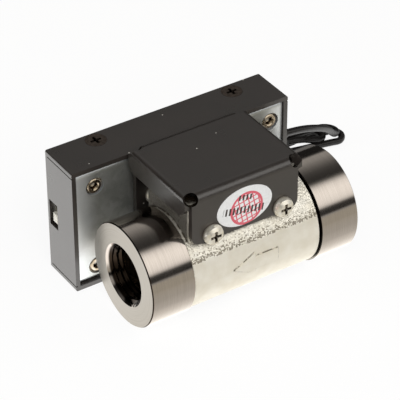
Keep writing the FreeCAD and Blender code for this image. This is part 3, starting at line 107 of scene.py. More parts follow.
# how bright the tent is, by degrees up from the front horizon and over to the back one
tent_bands = (
    (0, 0.41), (2.0, 0.39), (4.5, 0.036), (9.4, 0.042), (14.4, 0.05), (17.2, 0.12), (19.4, 0.54),
    (24.4, 1.08), (29.4, 1.25), (39.4, 1.37), (49.4, 1.39), (59.4, 1.24), (64.4, 0.98), (69.4, 0.56),
    (72.0, 0.32), (74.4, 0.13), (79.4, 0.04), (89.4, 0.055), (99.4, 0.085), (104.4, 0.12), (109.4, 0.16),
    (119.4, 0.26), (129.4, 0.37), (141.0, 0.41), (146.0, 0.05), (150.0, 0.017), (180.0, 0.015),
)
world = bpy.data.worlds.new("studio_tent")
world.use_nodes = True
scene.world = world
tree = world.node_tree
tree.nodes.clear()
heading = add(tree, "TexCoord")
aim = add(tree, "SeparateXYZ", {"Vector": heading.outputs["Generated"]})
forwards = add(tree, "Math", {0: aim.outputs["Y"], 1: -1.0}, operation="MULTIPLY")
over = add(tree, "Math", {0: aim.outputs["Z"], 1: forwards.outputs[0]}, operation="ARCTAN2")
share = add(tree, "Math", {0: over.outputs[0], 1: math.pi}, operation="DIVIDE")
# the tent's left end is open and dim
left_end = add(tree, "MapRange", {"Value": aim.outputs["X"], "From Min": -0.5, "From Max": -0.15, "To Min": 0.3})
tent = add(tree, "ValToRGB", {"Fac": share.outputs[0]}, ramp=[
    (degrees / 180, (glow * 1.02, glow, glow * 0.96, 1)) for degrees, glow in tent_bands])
ray = add(tree, "LightPath")
tent_light = add(tree, "Background", {"Color": tent.outputs["Color"], "Strength": left_end.outputs["Result"]})
white_wall = add(tree, "Background", {"Color": (1, 1, 1, 1), "Strength": 1.0})
both = add(tree, "MixShader", {0: ray.outputs["Is Camera Ray"], 1: tent_light.outputs[0], 2: white_wall.outputs[0]})
add(tree, "OutputWorld", {"Surface": both.outputs[0]})


def lamp(name, at, target, width, height_of, power):
    """A soft rectangular light that points from one place to another."""
    light = bpy.data.lights.new(name, "AREA")
    light.shape, light.size, light.size_y, light.energy = "RECTANGLE", width, height_of, power
    stand_at = bpy.data.objects.new(name, light)
    scene.collection.objects.link(stand_at)
    stand_at.location = at
    stand_at.rotation_euler = (Vector(target) - Vector(at)).to_track_quat("-Z", "Y").to_euler()
    stand_at.visible_glossy = False


lamp("front_softbox", (-0.25, -0.55, 0.55), (0, 0, 0.01), 0.5, 0.5, 3.2)
lamp("left_softbox", (-0.7, 0.1, 0.25), (0, 0, 0.01), 0.4, 0.4, 1.5)

# The table's white top: to the eye it is as white as the tent's wall, with the shadow kept.
# In the metal it is bright under and behind the pipe and dims towards the front.
table_mesh = bpy.data.meshes.new("table_top")
table_mesh.from_pydata([(-6, -6, -0.0001), (6, -6, -0.0001), (6, 6, -0.0001), (-6, 6, -0.0001)], [], [(0, 1, 2, 3)])
table_top = bpy.data.objects.new("table_top", table_mesh)
scene.collection.objects.link(table_top)
acrylic = bpy.data.materials.new("white_table_acrylic")
acrylic.use_nodes = True
tree = acrylic.node_tree
tree.nodes.clear()
spot = add(tree, "TexCoord")
side = add(tree, "SeparateXYZ", {"Vector": spot.outputs["Object"]})
# the light under the table ends behind the meter's right half
behind = add(tree, "MapRange", {"Value": side.outputs["Y"], "From Min": 0.012, "From Max": 0.03})
to_right = add(tree, "MapRange", {"Value": side.outputs["X"], "From Min": -0.02, "From Max": 0.0, "To Max": 0.9})
unlit = add(tree, "Math", {0: behind.outputs["Result"], 1: to_right.outputs["Result"]}, operation="MULTIPLY")
lit = add(tree, "Math", {0: 1.0, 1: unlit.outputs[0]}, operation="SUBTRACT")
reach = add(tree, "MapRange", {"Value": side.outputs["Y"], "From Min": -0.06, "From Max": 0.0})
glow = add(tree, "ValToRGB", {"Fac": reach.outputs["Result"]}, ramp=[
    (at, (level_of * (1.06 - 0.05 * at), level_of, level_of * (0.86 + 0.12 * at), 1))
    for at, level_of in ((0.0, 0.47), (0.10, 0.51), (0.477, 0.56), (0.613, 0.69), (0.69, 1.0), (0.743, 1.34),
                         (0.785, 1.6), (1.0, 1.75))])
ray = add(tree, "LightPath")
paint = add(tree, "BsdfDiffuse", {"Color": (0.9, 0.895, 0.88, 1)})
seen_white = add(tree, "Emission", {"Color": (1, 1, 1, 1), "Strength": 1.03})
mirrored = add(tree, "Emission", {"Color": glow.outputs["Color"], "Strength": lit.outputs[0]})
camera_share = add(tree, "Math", {0: ray.outputs["Is Camera Ray"], 1: 0.88}, operation="MULTIPLY")
glossy = add(tree, "Math", {0: ray.outputs["Is Glossy Ray"], 1: ray.outputs["Is Transmission Ray"]},
             operation="MAXIMUM")
on_camera = add(tree, "MixShader", {0: camera_share.outputs[0], 1: paint.outputs[0], 2: seen_white.outputs[0]})
on_metal = add(tree, "MixShader", {0: glossy.outputs[0], 1: on_camera.outputs[0], 2: mirrored.outputs[0]})
add(tree, "OutputMaterial", {"Surface": on_metal.outputs[0]})
table_mesh.materials.append(acrylic)


# Output cable: a thin black lead with a soft PVC jacket. It leaves the box through its
# strain relief, drops behind the meter and is folded into a small tied hank on the table.
cable_dia = 1.6
# the hank's middle and its turn on the table, and the heights of its two layers
hank_mid, hank_turn = (61.7, 32.9), math.radians(-13.0)
lower, upper = -10.3, -8.5


def in_hank(along, across, z):
    """A point given along and across the hank."""
    return (hank_mid[0] + along * math.cos(hank_turn) - across * math.sin(hank_turn),
            hank_mid[1] + along * math.sin(hank_turn) + across * math.cos(hank_turn), z)


cable_points = [
    (46.5, 19.2, 4.6), (55.5, 19.2, 4.6), (67.0, 22.0, -0.5),
    in_hank(12.8, -2.4, -8.2), in_hank(14.4, -0.6, -8.8), in_hank(13.9, 1.4, -9.0), in_hank(11.8, 2.2, -8.7),
    in_hank(8.4, 1.3, -8.2),
    in_hank(4.0, 0.95, upper), in_hank(-9.0, 0.95, upper),
    in_hank(-11.8, 2.3, upper), in_hank(-14.2, 2.3, -8.6), in_hank(-15.5, 0.0, -9.4), in_hank(-14.2, -2.3, -10.2),
    in_hank(-11.8, -2.0, lower), in_hank(2.0, -3.1, -9.9), in_hank(9.0, -3.1, -9.7), in_hank(12.4, -2.7, -10.0),
    in_hank(14.6, -2.4, lower), in_hank(16.0, 0.0, lower), in_hank(14.6, 2.4, lower),
    in_hank(12.0, 2.0, lower), in_hank(-10.0, 1.8, lower),
    in_hank(-12.2, 2.3, -10.2), in_hank(-13.6, 0.0, -9.6), in_hank(-12.2, -2.3, -8.7), in_hank(-9.6, -2.0, upper),
    in_hank(-6.5, -0.9, upper), in_hank(5.0, -0.9, upper),
    in_hank(7.4, -2.3, upper), in_hank(9.8, -2.4, -8.8), in_hank(11.1, 0.0, -9.1), in_hank(9.8, 2.3, -9.3),
    in_hank(6.8, 1.7, -9.5), in_hank(3.0, 0.0, -10.1), in_hank(-12.4, 0.0, -10.1),
    (46.6, 36.6, -10.3), (38.0, 37.4, -10.55), (29.6, 32.4, -10.55), (20.9, 30.6, -9.3),
]
cable_line = bpy.data.curves.new("output_cable_jacket", "CURVE")
cable_line.dimensions = "3D"
cable_line.bevel_depth = cable_dia / 2000
cable_line.bevel_resolution = 5
cable_line.resolution_u = 10
cable_line.use_fill_caps = True
run = cable_line.splines.new("NURBS")
run.points.add(len(cable_points) - 1)
for point, (x, y, z) in zip(run.points, cable_points):
    point.co = (*place(x, y, z), 1.0)
run.order_u = 3
run.use_endpoint_u = True
cable = bpy.data.objects.new("output_cable_jacket", cable_line)
scene.collection.objects.link(cable)


def new_finish(name, metallic=0.0, ior=1.5):
    """A material with its tree, its shader, and the place on the piece that patterns follow."""
    made = bpy.data.materials.new(name)
    made.use_nodes = True
    shader = made.node_tree.nodes["Principled BSDF"]
    shader.inputs["Metallic"].default_value = metallic
    if metallic == 0.0:
        shader.inputs["IOR"].default_value = ior
    return made, made.node_tree, shader, add(made.node_tree, "TexCoord").outputs["Object"]


def dress(tree, shader, colour, shine, height=None, strength=0.1, depth_mm=0.05):
    """Joins a finish's colour, roughness and relief to its shader."""
    tree.links.new(colour.outputs["Color"], shader.inputs["Base Color"])
    tree.links.new(shine.outputs["Result"], shader.inputs["Roughness"])
    if height:
        relief = add(tree, "Bump", {"Height": height, "Strength": strength, "Distance": depth_mm / 1000})
        tree.links.new(relief.outputs["Normal"], shader.inputs["Normal"])


# Flexible PVC, extruded: deep black with a broad soft sheen and a faint drag grain.
pvc, tree, skin, spot = new_finish("extruded_black_pvc", ior=1.5)
skin.inputs["Specular IOR Level"].default_value = 0.35
drag = add(tree, "TexNoise", {"Vector": spot, "Scale": 1 / 0.0006, "Detail": 2.0})
tone = add(tree, "ValToRGB", {"Fac": drag.outputs["Fac"]}, ramp=((0.2, "#0c0a0a"), (0.8, "#171414")))
shine = add(tree, "MapRange", {"Value": drag.outputs["Fac"], "To Min": 0.30, "To Max": 0.42})
dress(tree, skin, tone, shine, drag.outputs["Fac"], 0.08, 0.05)
cable_line.materials.append(pvc)

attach(cable, "meter")
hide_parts("output_cable", "cable_hank", "cable_tail")


# Cable fittings: the strain relief is moulded from black TPE, the tie is a plastic-coated wire
# twisted round the hank, and the three-pin plug is a black nylon moulding.
def smooth_by_angle(shape, limit=35.0):
    """Shades the faces smooth and leaves edges over the limit sharp."""
    for face in shape.polygons:
        face.use_smooth = True
    shape.set_sharp_from_angle(angle=math.radians(limit))


def wear(node, material, limit=35.0):
    """Gives a node of the CAD its material, shaded smooth over its curves."""
    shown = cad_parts[node]
    smooth_by_angle(shown.data, limit)
    shown.data.materials.clear()
    shown.data.materials.append(material)
    return shown


def grained(name, dark, light, grain_mm, least, most, metallic=0.0, ior=1.5, strength=0.1, depth_mm=0.02):
    """A finish of one tone with a fine grain, from its darkest and lightest colours."""
    made, tree, shader, spot = new_finish(name, metallic, ior)
    grain = add(tree, "TexNoise", {"Vector": spot, "Scale": 1000 / grain_mm, "Detail": 2.0})
    tone = add(tree, "ValToRGB", {"Fac": grain.outputs["Fac"]}, ramp=((0.3, dark), (0.7, light)))
    shine = add(tree, "MapRange", {"Value": grain.outputs["Fac"], "To Min": least, "To Max": most})
    dress(tree, shader, tone, shine, grain.outputs["Fac"], strength, depth_mm)
    return made


# TPE and nylon as they leave the mould: matt black, with the tool's spark-eroded grain.
wear("cable_grommet", grained("moulded_black_tpe", "#151413", "#211f1e", 0.30, 0.42, 0.58, ior=1.5))
wear("hank_tie", grained("coated_tie_wire", "#121211", "#1f1e1d", 0.25, 0.30, 0.45, ior=1.5))
wear("cable_plug", grained("moulded_black_nylon", "#141414", "#232222", 0.35, 0.34, 0.50, ior=1.53, strength=0.2))


# Port collars: two rings turned from brass bar and black-nickel plated. Each screws on to the
# body's stub and carries a pipe thread, whose crests show inside the mouth.
# the pitch is a G1/4 thread's; its depth of 0.86 mm is drawn at 0.45
thread_pitch, thread_rise = 1.337, 0.45
thread_from, thread_to, run_out, steps_round = 0.85, 3.5, 0.5, 144


def turned_ring(name, stations, face_x, towards):
    """A closed ring turned about the pipe: stations are (depth, radius, how deep the thread is)."""
    made = bmesh.new()
    rows = []
    for depth, radius, cut in stations:
        row = []
        for step in range(steps_round):
            angle = 2 * math.pi * step / steps_round
            phase = (depth / thread_pitch + towards * step / steps_round) % 1.0
            wall = radius + thread_rise * abs(2 * phase - 1) * cut
            at = place(face_x + towards * depth, wall * math.cos(angle), wall * math.sin(angle))
            row.append(made.verts.new(at))
        rows.append(row)
    for here, after in zip(rows, rows[1:] + rows[:1]):
        for step in range(steps_round):
            ahead = (step + 1) % steps_round
            made.faces.new((here[step], after[step], after[ahead], here[ahead]))
    bmesh.ops.recalc_face_normals(made, faces=made.faces)
    shape = bpy.data.meshes.new(name)
    made.to_mesh(shape)
    made.free()
    smooth_by_angle(shape, 40.0)
    ring = bpy.data.objects.new(name, shape)
    scene.collection.objects.link(ring)
    return ring


def collar_stations(length):
    """The collar's outline, from the mouth out over the face, along the outside and back inside."""
    outer, port, mouth, lead_in, socket, seat = 11.5, 5.7225, 6.925, 1.15, 9.03, 7.2
    profile = [
        (0.0, mouth + 0.05, 0), (0.0, outer - 0.22, 0), (0.22, outer, 0), (length - 0.05, outer, 0),
        (length, outer - 0.05, 0), (length, socket, 0), (seat, socket, 0), (seat, port, 0),
        (thread_to + 0.6, port, 0),
    ]
    depth = thread_to
    while depth > thread_from + 0.02:
        fullness = min(1.0, (thread_to - depth) / run_out)
        profile.append((depth, port + (mouth - port) * max(0.0, 1 - depth / lead_in), fullness))
        depth -= thread_pitch / 10
    profile.append((0.62, mouth - 0.42, 0))
    profile.append((0.06, mouth - 0.02, 0))
    return profile


# Black nickel over turned brass: a warm grey mirror, softened along the fine turning lines on
# the outside. The faces are cut with a coarser feed and look duller, and take a darker painted
# shade; the outer chamfers carry a painted dark reflection and the bore painted shade.
black_nickel, tree, skin, spot = new_finish("turned_black_nickel", metallic=1.0)
stretch = add(tree, "Mapping", {"Vector": spot, "Scale": (1 / 0.00018, 1 / 0.009, 1 / 0.009)})
lines = add(tree, "TexNoise", {"Vector": stretch.outputs["Vector"], "Scale": 1.0, "Detail": 3.0, "Roughness": 0.6})
cloud = add(tree, "TexNoise", {"Vector": spot, "Scale": 1 / 0.004, "Detail": 2.0})
outside = add(tree, "ValToRGB", {"Fac": lines.outputs["Fac"]}, ramp=((0.3, "#bfb6ae"), (0.7, "#cac1b9")))
facing = add(tree, "NewGeometry")
which_way = add(tree, "SeparateXYZ", {"Vector": facing.outputs["Normal"]})
across = add(tree, "Math", {0: which_way.outputs["X"]}, operation="ABSOLUTE")
on_face = add(tree, "MapRange", {"Value": across.outputs[0], "From Min": 0.75, "From Max": 0.95})
centred = add(tree, "VectorMath", {0: spot, 1: tuple(port_face)}, operation="SUBTRACT")
from_axis = add(tree, "VectorMath", {0: centred.outputs["Vector"], 1: (0.0, 1.0, 1.0)}, operation="MULTIPLY")
radius = add(tree, "VectorMath", {0: from_axis.outputs["Vector"]}, operation="LENGTH")
feed = add(tree, "TexNoise", {"W": radius.outputs["Value"], "Scale": 1 / 0.00018, "Detail": 2.0},
           noise_dimensions="1D")
# painted shade: the end faces, found by their normal, get a darker tone than the outside
face_tone = add(tree, "ValToRGB", {"Fac": feed.outputs["Fac"]}, ramp=((0.3, "#8f8a82"), (0.7, "#9e9991")))
# painted shade: inside the bore, within about 6.5 mm of the axis, the colour is painted dark
in_bore = add(tree, "MapRange", {"Value": radius.outputs["Value"], "From Min": 0.0065, "From Max": 0.0067,
                                 "To Min": 1.0, "To Max": 0.0})
faced = add(tree, "Mix", {0: on_face.outputs["Result"], 6: outside.outputs["Color"], 7: face_tone.outputs["Color"]},
            data_type="RGBA")
# painted reflection: the outer chamfer is painted dark brown for the dark things it mirrors
on_slope = add(tree, "Math", {0: across.outputs[0], 1: 0.7, 2: 0.22}, operation="COMPARE")
outer_edge = add(tree, "Math", {0: radius.outputs["Value"], 1: 0.0105}, operation="GREATER_THAN")
chamfer = add(tree, "Math", {0: on_slope.outputs[0], 1: outer_edge.outputs[0]}, operation="MULTIPLY")
painted_dark_line = add(tree, "Mix", {0: chamfer.outputs[0], 6: faced.outputs[2], 7: srgb("#3f352d")}, data_type="RGBA")
bore_shaded = add(tree, "Mix", {0: in_bore.outputs["Result"], 6: painted_dark_line.outputs[2], 7: srgb("#2f2720")}, data_type="RGBA")
dulled = add(tree, "MapRange", {"Value": on_face.outputs["Result"], "To Min": 0.09, "To Max": 0.30})
shine = add(tree, "MapRange", {"Value": cloud.outputs["Fac"], "To Min": 0.0, "To Max": 0.05})
rough = add(tree, "Math", {0: dulled.outputs["Result"], 1: shine.outputs["Result"]}, operation="ADD")
ripple = add(tree, "Bump", {"Height": lines.outputs["Fac"], "Strength": 0.06, "Distance": 0.00003})
tree.links.new(bore_shaded.outputs[2], skin.inputs["Base Color"])
tree.links.new(rough.outputs[0], skin.inputs["Roughness"])
tree.links.new(ripple.outputs["Normal"], skin.inputs["Normal"])

inlet_low, inlet_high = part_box("inlet_collar")
pipe_length = (inlet_high[0] - port_low[0]) * 1000
for name, node, face_x, towards, length in (
    ("outlet_collar_turned", "outlet_collar", 0.0, 1, (port_high[0] - port_low[0]) * 1000),
    ("inlet_collar_turned", "inlet_collar", pipe_length, -1, (inlet_high[0] - inlet_low[0]) * 1000),
):
    ring = turned_ring(name, collar_stations(length), face_x, towards)
    ring.data.materials.append(black_nickel)
    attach(ring, "meter")
    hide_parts(node)


# Meter body: a brass casting, nickel plated. The barrel is blasted smooth up to a line along
# its flank; above it the boss and the land keep a coarse bright grit, darkest at that line.
blasted, tree, skin, spot = new_finish("blasted_nickel_plate")
side = add(tree, "SeparateXYZ", {"Vector": spot})
# the grit is about 0.25 mm, drawn at 0.38 mm so that it shows; the line wanders 0.7 mm either way
grit = add(tree, "TexNoise", {"Vector": spot, "Scale": 1 / 0.00038, "Detail": 1.0, "Roughness": 0.5})
peen = add(tree, "TexNoise", {"Vector": spot, "Scale": 1 / 0.0012, "Detail": 3.0})
cloud = add(tree, "TexNoise", {"Vector": spot, "Scale": 1 / 0.003, "Detail": 2.0})
wander = add(tree, "MapRange", {"Value": peen.outputs["Fac"], "To Min": -0.0007, "To Max": 0.0007})
line_height = add(tree, "Math", {0: side.outputs["Z"], 1: wander.outputs["Result"]}, operation="ADD")
coarse = add(tree, "MapRange", {"Value": line_height.outputs[0], "From Min": 0.0160, "From Max": 0.0164})
clean = add(tree, "ValToRGB", {"Fac": cloud.outputs["Fac"]}, ramp=((0.3, "#f1ebdc"), (0.7, "#fdf9ee")))
# dark pits between the grains: dense just above the line, few higher up, hardly any on the barrel
pitting = add(tree, "MapRange", {"Value": line_height.outputs[0], "From Min": 0.0162, "From Max": 0.0186,
                                 "To Min": 0.60, "To Max": 0.27})
pit_line = add(tree, "MapRange", {"Value": coarse.outputs["Result"], "To Min": 0.30, "To Max": 1.0})
pit_share = add(tree, "Math", {0: pitting.outputs["Result"], 1: pit_line.outputs["Result"]}, operation="MULTIPLY")
above_pit = add(tree, "Math", {0: grit.outputs["Fac"], 1: pit_share.outputs[0]}, operation="SUBTRACT")
pit = add(tree, "MapRange", {"Value": above_pit.outputs[0], "From Min": -0.04, "From Max": 0.04,
                             "To Min": 0.8, "To Max": 0.0})
pitted = add(tree, "Mix", {0: pit.outputs["Result"], 6: clean.outputs["Color"], 7: srgb("#756c5b")}, data_type="RGBA")
# painted shade: a broken dark line is painted along the foot of the raised arrow, where ambient occlusion finds it
foot = add(tree, "AmbientOcclusion", {"Distance": 0.0004}, samples=8)
at_foot = add(tree, "MapRange", {"Value": foot.outputs["AO"], "From Min": 0.93, "From Max": 0.70})
broken = add(tree, "MapRange", {"Value": peen.outputs["Fac"], "From Min": 0.40, "From Max": 0.50})
foot_shade_share = add(tree, "Math", {0: at_foot.outputs["Result"], 1: broken.outputs["Result"]}, operation="MULTIPLY")
painted_dark_line = add(tree, "Mix", {0: foot_shade_share.outputs[0], 6: pitted.outputs[2], 7: srgb("#6f6656")}, data_type="RGBA")
# painted shade: under the bracket and behind the collars, where ambient occlusion finds the body closed in, it is
# painted dark brown
closed_in = add(tree, "AmbientOcclusion", {"Distance": 0.004}, samples=8)
shade_in_hollows = add(tree, "MapRange", {"Value": closed_in.outputs["AO"], "From Min": 0.58, "From Max": 0.25})
# painted shade also on the boss's flank beside the outlet collar, behind the bracket's ear, apart from a rim 1 mm
# wide that stays bright
past_rim = add(tree, "MapRange", {"Value": side.outputs["X"], "From Min": port_high[0] + 0.0007,
                                  "From Max": port_high[0] + 0.0012})
facing = add(tree, "NewGeometry")
which_way = add(tree, "SeparateXYZ", {"Vector": facing.outputs["Normal"]})
sideways = add(tree, "Math", {0: which_way.outputs["X"], 1: -0.7}, operation="LESS_THAN")
boss_flank = add(tree, "Math", {0: past_rim.outputs["Result"], 1: sideways.outputs[0]}, operation="MAXIMUM")
left_half = add(tree, "MapRange", {"Value": side.outputs["X"], "From Min": 0.0, "From Max": -0.002})
behind_ear = add(tree, "MapRange", {"Value": side.outputs["Y"], "From Min": -0.0150, "From Max": -0.0135,
                                    "To Max": 0.85})
on_flank = add(tree, "Math", {0: boss_flank.outputs[0], 1: left_half.outputs["Result"]}, operation="MULTIPLY")
shaded_flank = add(tree, "Math", {0: on_flank.outputs[0], 1: behind_ear.outputs["Result"]}, operation="MULTIPLY")
painted_shade_share = add(tree, "Math", {0: shade_in_hollows.outputs["Result"], 1: shaded_flank.outputs[0]}, operation="MAXIMUM")
tone = add(tree, "Mix", {0: painted_shade_share.outputs[0], 6: painted_dark_line.outputs[2], 7: srgb("#2b231b")}, data_type="RGBA")
rough = add(tree, "MapRange", {"Value": coarse.outputs["Result"], "To Min": 0.44, "To Max": 0.26})
metal = add(tree, "MapRange", {"Value": coarse.outputs["Result"], "To Min": 0.55, "To Max": 0.5})
depth = add(tree, "MapRange", {"Value": coarse.outputs["Result"], "To Min": 0.10, "To Max": 1.0})
relief = add(tree, "Bump", {"Height": grit.outputs["Fac"], "Strength": depth.outputs["Result"], "Distance": 0.00026})
tree.links.new(tone.outputs[2], skin.inputs["Base Color"])
tree.links.new(rough.outputs["Result"], skin.inputs["Roughness"])
tree.links.new(metal.outputs["Result"], skin.inputs["Metallic"])
tree.links.new(relief.outputs["Normal"], skin.inputs["Normal"])
wear("meter_body", blasted)


# Seal rings: black nitrile, moulded, squeezed in their glands on the body's two stubs. Only
# their outer edge would show with a collar off.
nitrile = grained("moulded_nitrile", "#101010", "#1d1d1c", 0.4, 0.50, 0.66, ior=1.52)
for node in ("outlet_seal", "inlet_seal"):
    wear(node, nitrile)


# Flow straighteners: white acetal mouldings pressed into the body's seats, each a ring with
# five vanes and a bullet-nosed hub that holds a bearing.
acetal = grained("moulded_white_acetal", "#cfcdc4", "#dedcd4", 0.6, 0.32, 0.44, ior=1.48, strength=0.08)
for node in ("outlet_straightener", "inlet_straightener"):
    wear(node, acetal)


# Bearings and shaft: sintered bronze bushes pushed into the hubs, and a ground and polished
# steel pin that runs in them.
bronze = grained("sintered_bronze", "#8f6c40", "#b8925c", 0.25, 0.34, 0.50, metallic=1.0, strength=0.3)
for node in ("outlet_bush", "inlet_bush"):
    wear(node, bronze)
wear("rotor_shaft", grained("polished_pin_steel", "#c9c9c8", "#dcdcda", 0.3, 0.10, 0.18, metallic=1.0, strength=0.04))


# Turbine: the rotor is moulded in ivory acetal with six helical blades, and carries a ring
# magnet of sintered ferrite on its upstream spigot.
ivory = grained("moulded_ivory_acetal", "#dcd8ca", "#ebe8dc", 0.5, 0.28, 0.40, ior=1.48, strength=0.08)
wear("turbine_rotor", ivory, 45.0)
wear("rotor_magnet", grained("sintered_ferrite", "#2b2b2d", "#414143", 0.2, 0.40, 0.58, metallic=0.4, strength=0.3))


# Sensor boards: glass-epoxy with a green solder mask, in the boss and in the display box. The
# weave below the mask shows faintly.
mask, tree, skin, spot = new_finish("green_solder_mask", ior=1.52)
weave = add(tree, "TexBrick", {"Vector": spot, "Scale": 1 / 0.0009, "Mortar Size": 0.08, "Color1": srgb("#174427"),
                               "Color2": srgb("#1c4d2d"), "Mortar": srgb("#133a21")})
shine = add(tree, "MapRange", {"Value": weave.outputs["Fac"], "To Min": 0.24, "To Max": 0.34})
dress(tree, skin, weave, shine, weave.outputs["Fac"], 0.1, 0.02)
for node in ("sensor_board", "display_board"):
    wear(node, mask)


# Chips: the sensor over the magnet and the controller on the display's board, both moulded in
# black epoxy with a fine matt skin.
epoxy = grained("moulded_black_epoxy", "#18181a", "#262628", 0.15, 0.46, 0.60, ior=1.55, strength=0.2)
for node in ("hall_sensor", "controller_chip"):
    wear(node, epoxy)


# Sensor lead: a short black lead from an ivory nylon plug in the boss to the display's board,
# through a rubber ring in the back plate. The output cable's socket is the same nylon.
nylon = grained("moulded_ivory_nylon", "#cbc4ae", "#dcd6c3", 0.4, 0.34, 0.46, ior=1.53, strength=0.1)
for node in ("sensor_plug", "cable_socket"):
    wear(node, nylon)
wear("sensor_lead", pvc)
wear("lead_grommet", nitrile)
wear("boss_gasket", grained("closed_cell_foam", "#121212", "#262524", 0.25, 0.75, 0.92, ior=1.4, strength=0.5,
                            depth_mm=0.08))


# Sensor bracket and display box: both are folded from steel sheet and powder coated black. The
# bracket is screwed over the boss, and the box is a tray whose open side the back plate closes.
powder, tree, skin, spot = new_finish("black_powder_coat", ior=1.55)
skin.inputs["Specular IOR Level"].default_value = 0.85
# satin black: an orange peel about 0.5 mm across breaks up the sheen, most of all on the folds
peel = add(tree, "TexNoise", {"Vector": spot, "Scale": 1 / 0.0005, "Detail": 2.0, "Roughness": 0.6})
fleck = add(tree, "TexNoise", {"Vector": spot, "Scale": 1 / 0.00028, "Detail": 1.0})
cloud = add(tree, "TexNoise", {"Vector": spot, "Scale": 1 / 0.007, "Detail": 2.0})
coat = add(tree, "ValToRGB", {"Fac": cloud.outputs["Fac"]}, ramp=((0.3, "#2a2623"), (0.7, "#302b28")))
# dust in the coat: a pale speck to every few millimetres, drawn 0.3 mm across so that it shows
cell = add(tree, "TexVoronoi", {"Vector": spot, "Scale": 1 / 0.0022})
near_speck = add(tree, "Math", {0: cell.outputs["Distance"], 1: 0.08}, operation="LESS_THAN")
chance = add(tree, "SeparateColor", {"Color": cell.outputs["Color"]})
chosen = add(tree, "Math", {0: chance.outputs["Red"], 1: 0.86}, operation="GREATER_THAN")
speck = add(tree, "Math", {0: near_speck.outputs[0], 1: chosen.outputs[0]}, operation="MULTIPLY")
dusty = add(tree, "Mix", {0: speck.outputs[0], 6: coat.outputs["Color"], 7: srgb("#c4c0b8")}, data_type="RGBA")
shine = add(tree, "MapRange", {"Value": cloud.outputs["Fac"], "To Min": 0.25, "To Max": 0.33})
lumps = add(tree, "Math", {0: peel.outputs["Fac"], 1: fleck.outputs["Fac"]}, operation="ADD")
# the folds: where the sheet faces none of the box's own directions
facing = add(tree, "NewGeometry")
sizes = add(tree, "VectorMath", {0: facing.outputs["Normal"]}, operation="ABSOLUTE")
parts = add(tree, "SeparateXYZ", {"Vector": sizes.outputs["Vector"]})
wider = add(tree, "Math", {0: parts.outputs["X"], 1: parts.outputs["Y"]}, operation="MAXIMUM")
widest = add(tree, "Math", {0: wider.outputs[0], 1: parts.outputs["Z"]}, operation="MAXIMUM")
fold = add(tree, "MapRange", {"Value": widest.outputs[0], "From Min": 0.995, "From Max": 0.90,
                              "To Min": 0.12, "To Max": 0.38})
ripple = add(tree, "Bump", {"Height": lumps.outputs[0], "Strength": fold.outputs["Result"], "Distance": 0.00007})
tree.links.new(dusty.outputs[2], skin.inputs["Base Color"])
tree.links.new(shine.outputs["Result"], skin.inputs["Roughness"])
tree.links.new(ripple.outputs["Normal"], skin.inputs["Normal"])
for node in ("sensor_bracket", "display_housing"):
    shown = wear(node, powder)
    edge = shown.modifiers.new("coated_edges", "BEVEL")
    edge.width, edge.segments, edge.limit_method = 0.00014, 2, "ANGLE"
    edge.angle_limit = math.radians(40)
    edge.harden_normals = True


# Bright screws: steel pan heads with a cross recess, nickel plated. Two hold the bracket's ear
# to the boss, two its rear flange to the clinch nuts, and four small ones hold the board.
nickel, tree, skin, spot = new_finish("nickel_plated_steel", metallic=0.75)
spread = add(tree, "TexNoise", {"Vector": spot, "Scale": 1 / 0.0009, "Detail": 3.0})
plated = add(tree, "ValToRGB", {"Fac": spread.outputs["Fac"]}, ramp=((0.35, "#efe8d6"), (0.65, "#faf6ec")))
# painted shade: the cross recess, found by ambient occlusion, is painted brown
pocket = add(tree, "AmbientOcclusion", {"Distance": 0.0008}, samples=8)
open_share = add(tree, "MapRange", {"Value": pocket.outputs["AO"], "From Min": 0.45, "From Max": 0.85})
recess_shaded = add(tree, "Mix", {0: open_share.outputs["Result"], 6: srgb("#4f3a22"), 7: plated.outputs["Color"]},
           data_type="RGBA")
shine = add(tree, "MapRange", {"Value": spread.outputs["Fac"], "To Min": 0.24, "To Max": 0.36})
ripple = add(tree, "Bump", {"Height": spread.outputs["Fac"], "Strength": 0.06, "Distance": 0.00005})
tree.links.new(recess_shaded.outputs[2], skin.inputs["Base Color"])
tree.links.new(shine.outputs["Result"], skin.inputs["Roughness"])
tree.links.new(ripple.outputs["Normal"], skin.inputs["Normal"])
for node in ("bracket_ear_screws", "bracket_rear_screws", "board_screws"):
    wear(node, nickel)


# Back plate: galvanised steel sheet in a shallow tray, which carries the board's standoffs and
# closes the box. Its zinc is grey with soft clouds, with a painted blue-white highlight where it is bent.
zinc, tree, skin, spot = new_finish("galvanised_sheet", metallic=0.8)
cloud = add(tree, "TexNoise", {"Vector": spot, "Scale": 1 / 0.0045, "Detail": 4.0, "Roughness": 0.55})
spangle = add(tree, "TexVoronoi", {"Vector": spot, "Scale": 1 / 0.0011})
grey = add(tree, "SeparateColor", {"Color": spangle.outputs["Color"]})
patch = add(tree, "Mix", {0: 0.18, 2: cloud.outputs["Fac"], 3: grey.outputs["Red"]})
sheet_tone = add(tree, "ValToRGB", {"Fac": patch.outputs[0]},
                 ramp=((0.3, "#a4a6a1"), (0.5, "#b2b4af"), (0.7, "#bfc1bd")))
facing = add(tree, "NewGeometry")
which_way = add(tree, "SeparateXYZ", {"Vector": facing.outputs["Normal"]})
flat_on = add(tree, "Math", {0: which_way.outputs["Y"]}, operation="ABSOLUTE")
bent = add(tree, "MapRange", {"Value": flat_on.outputs[0], "From Min": 0.98, "From Max": 0.7})
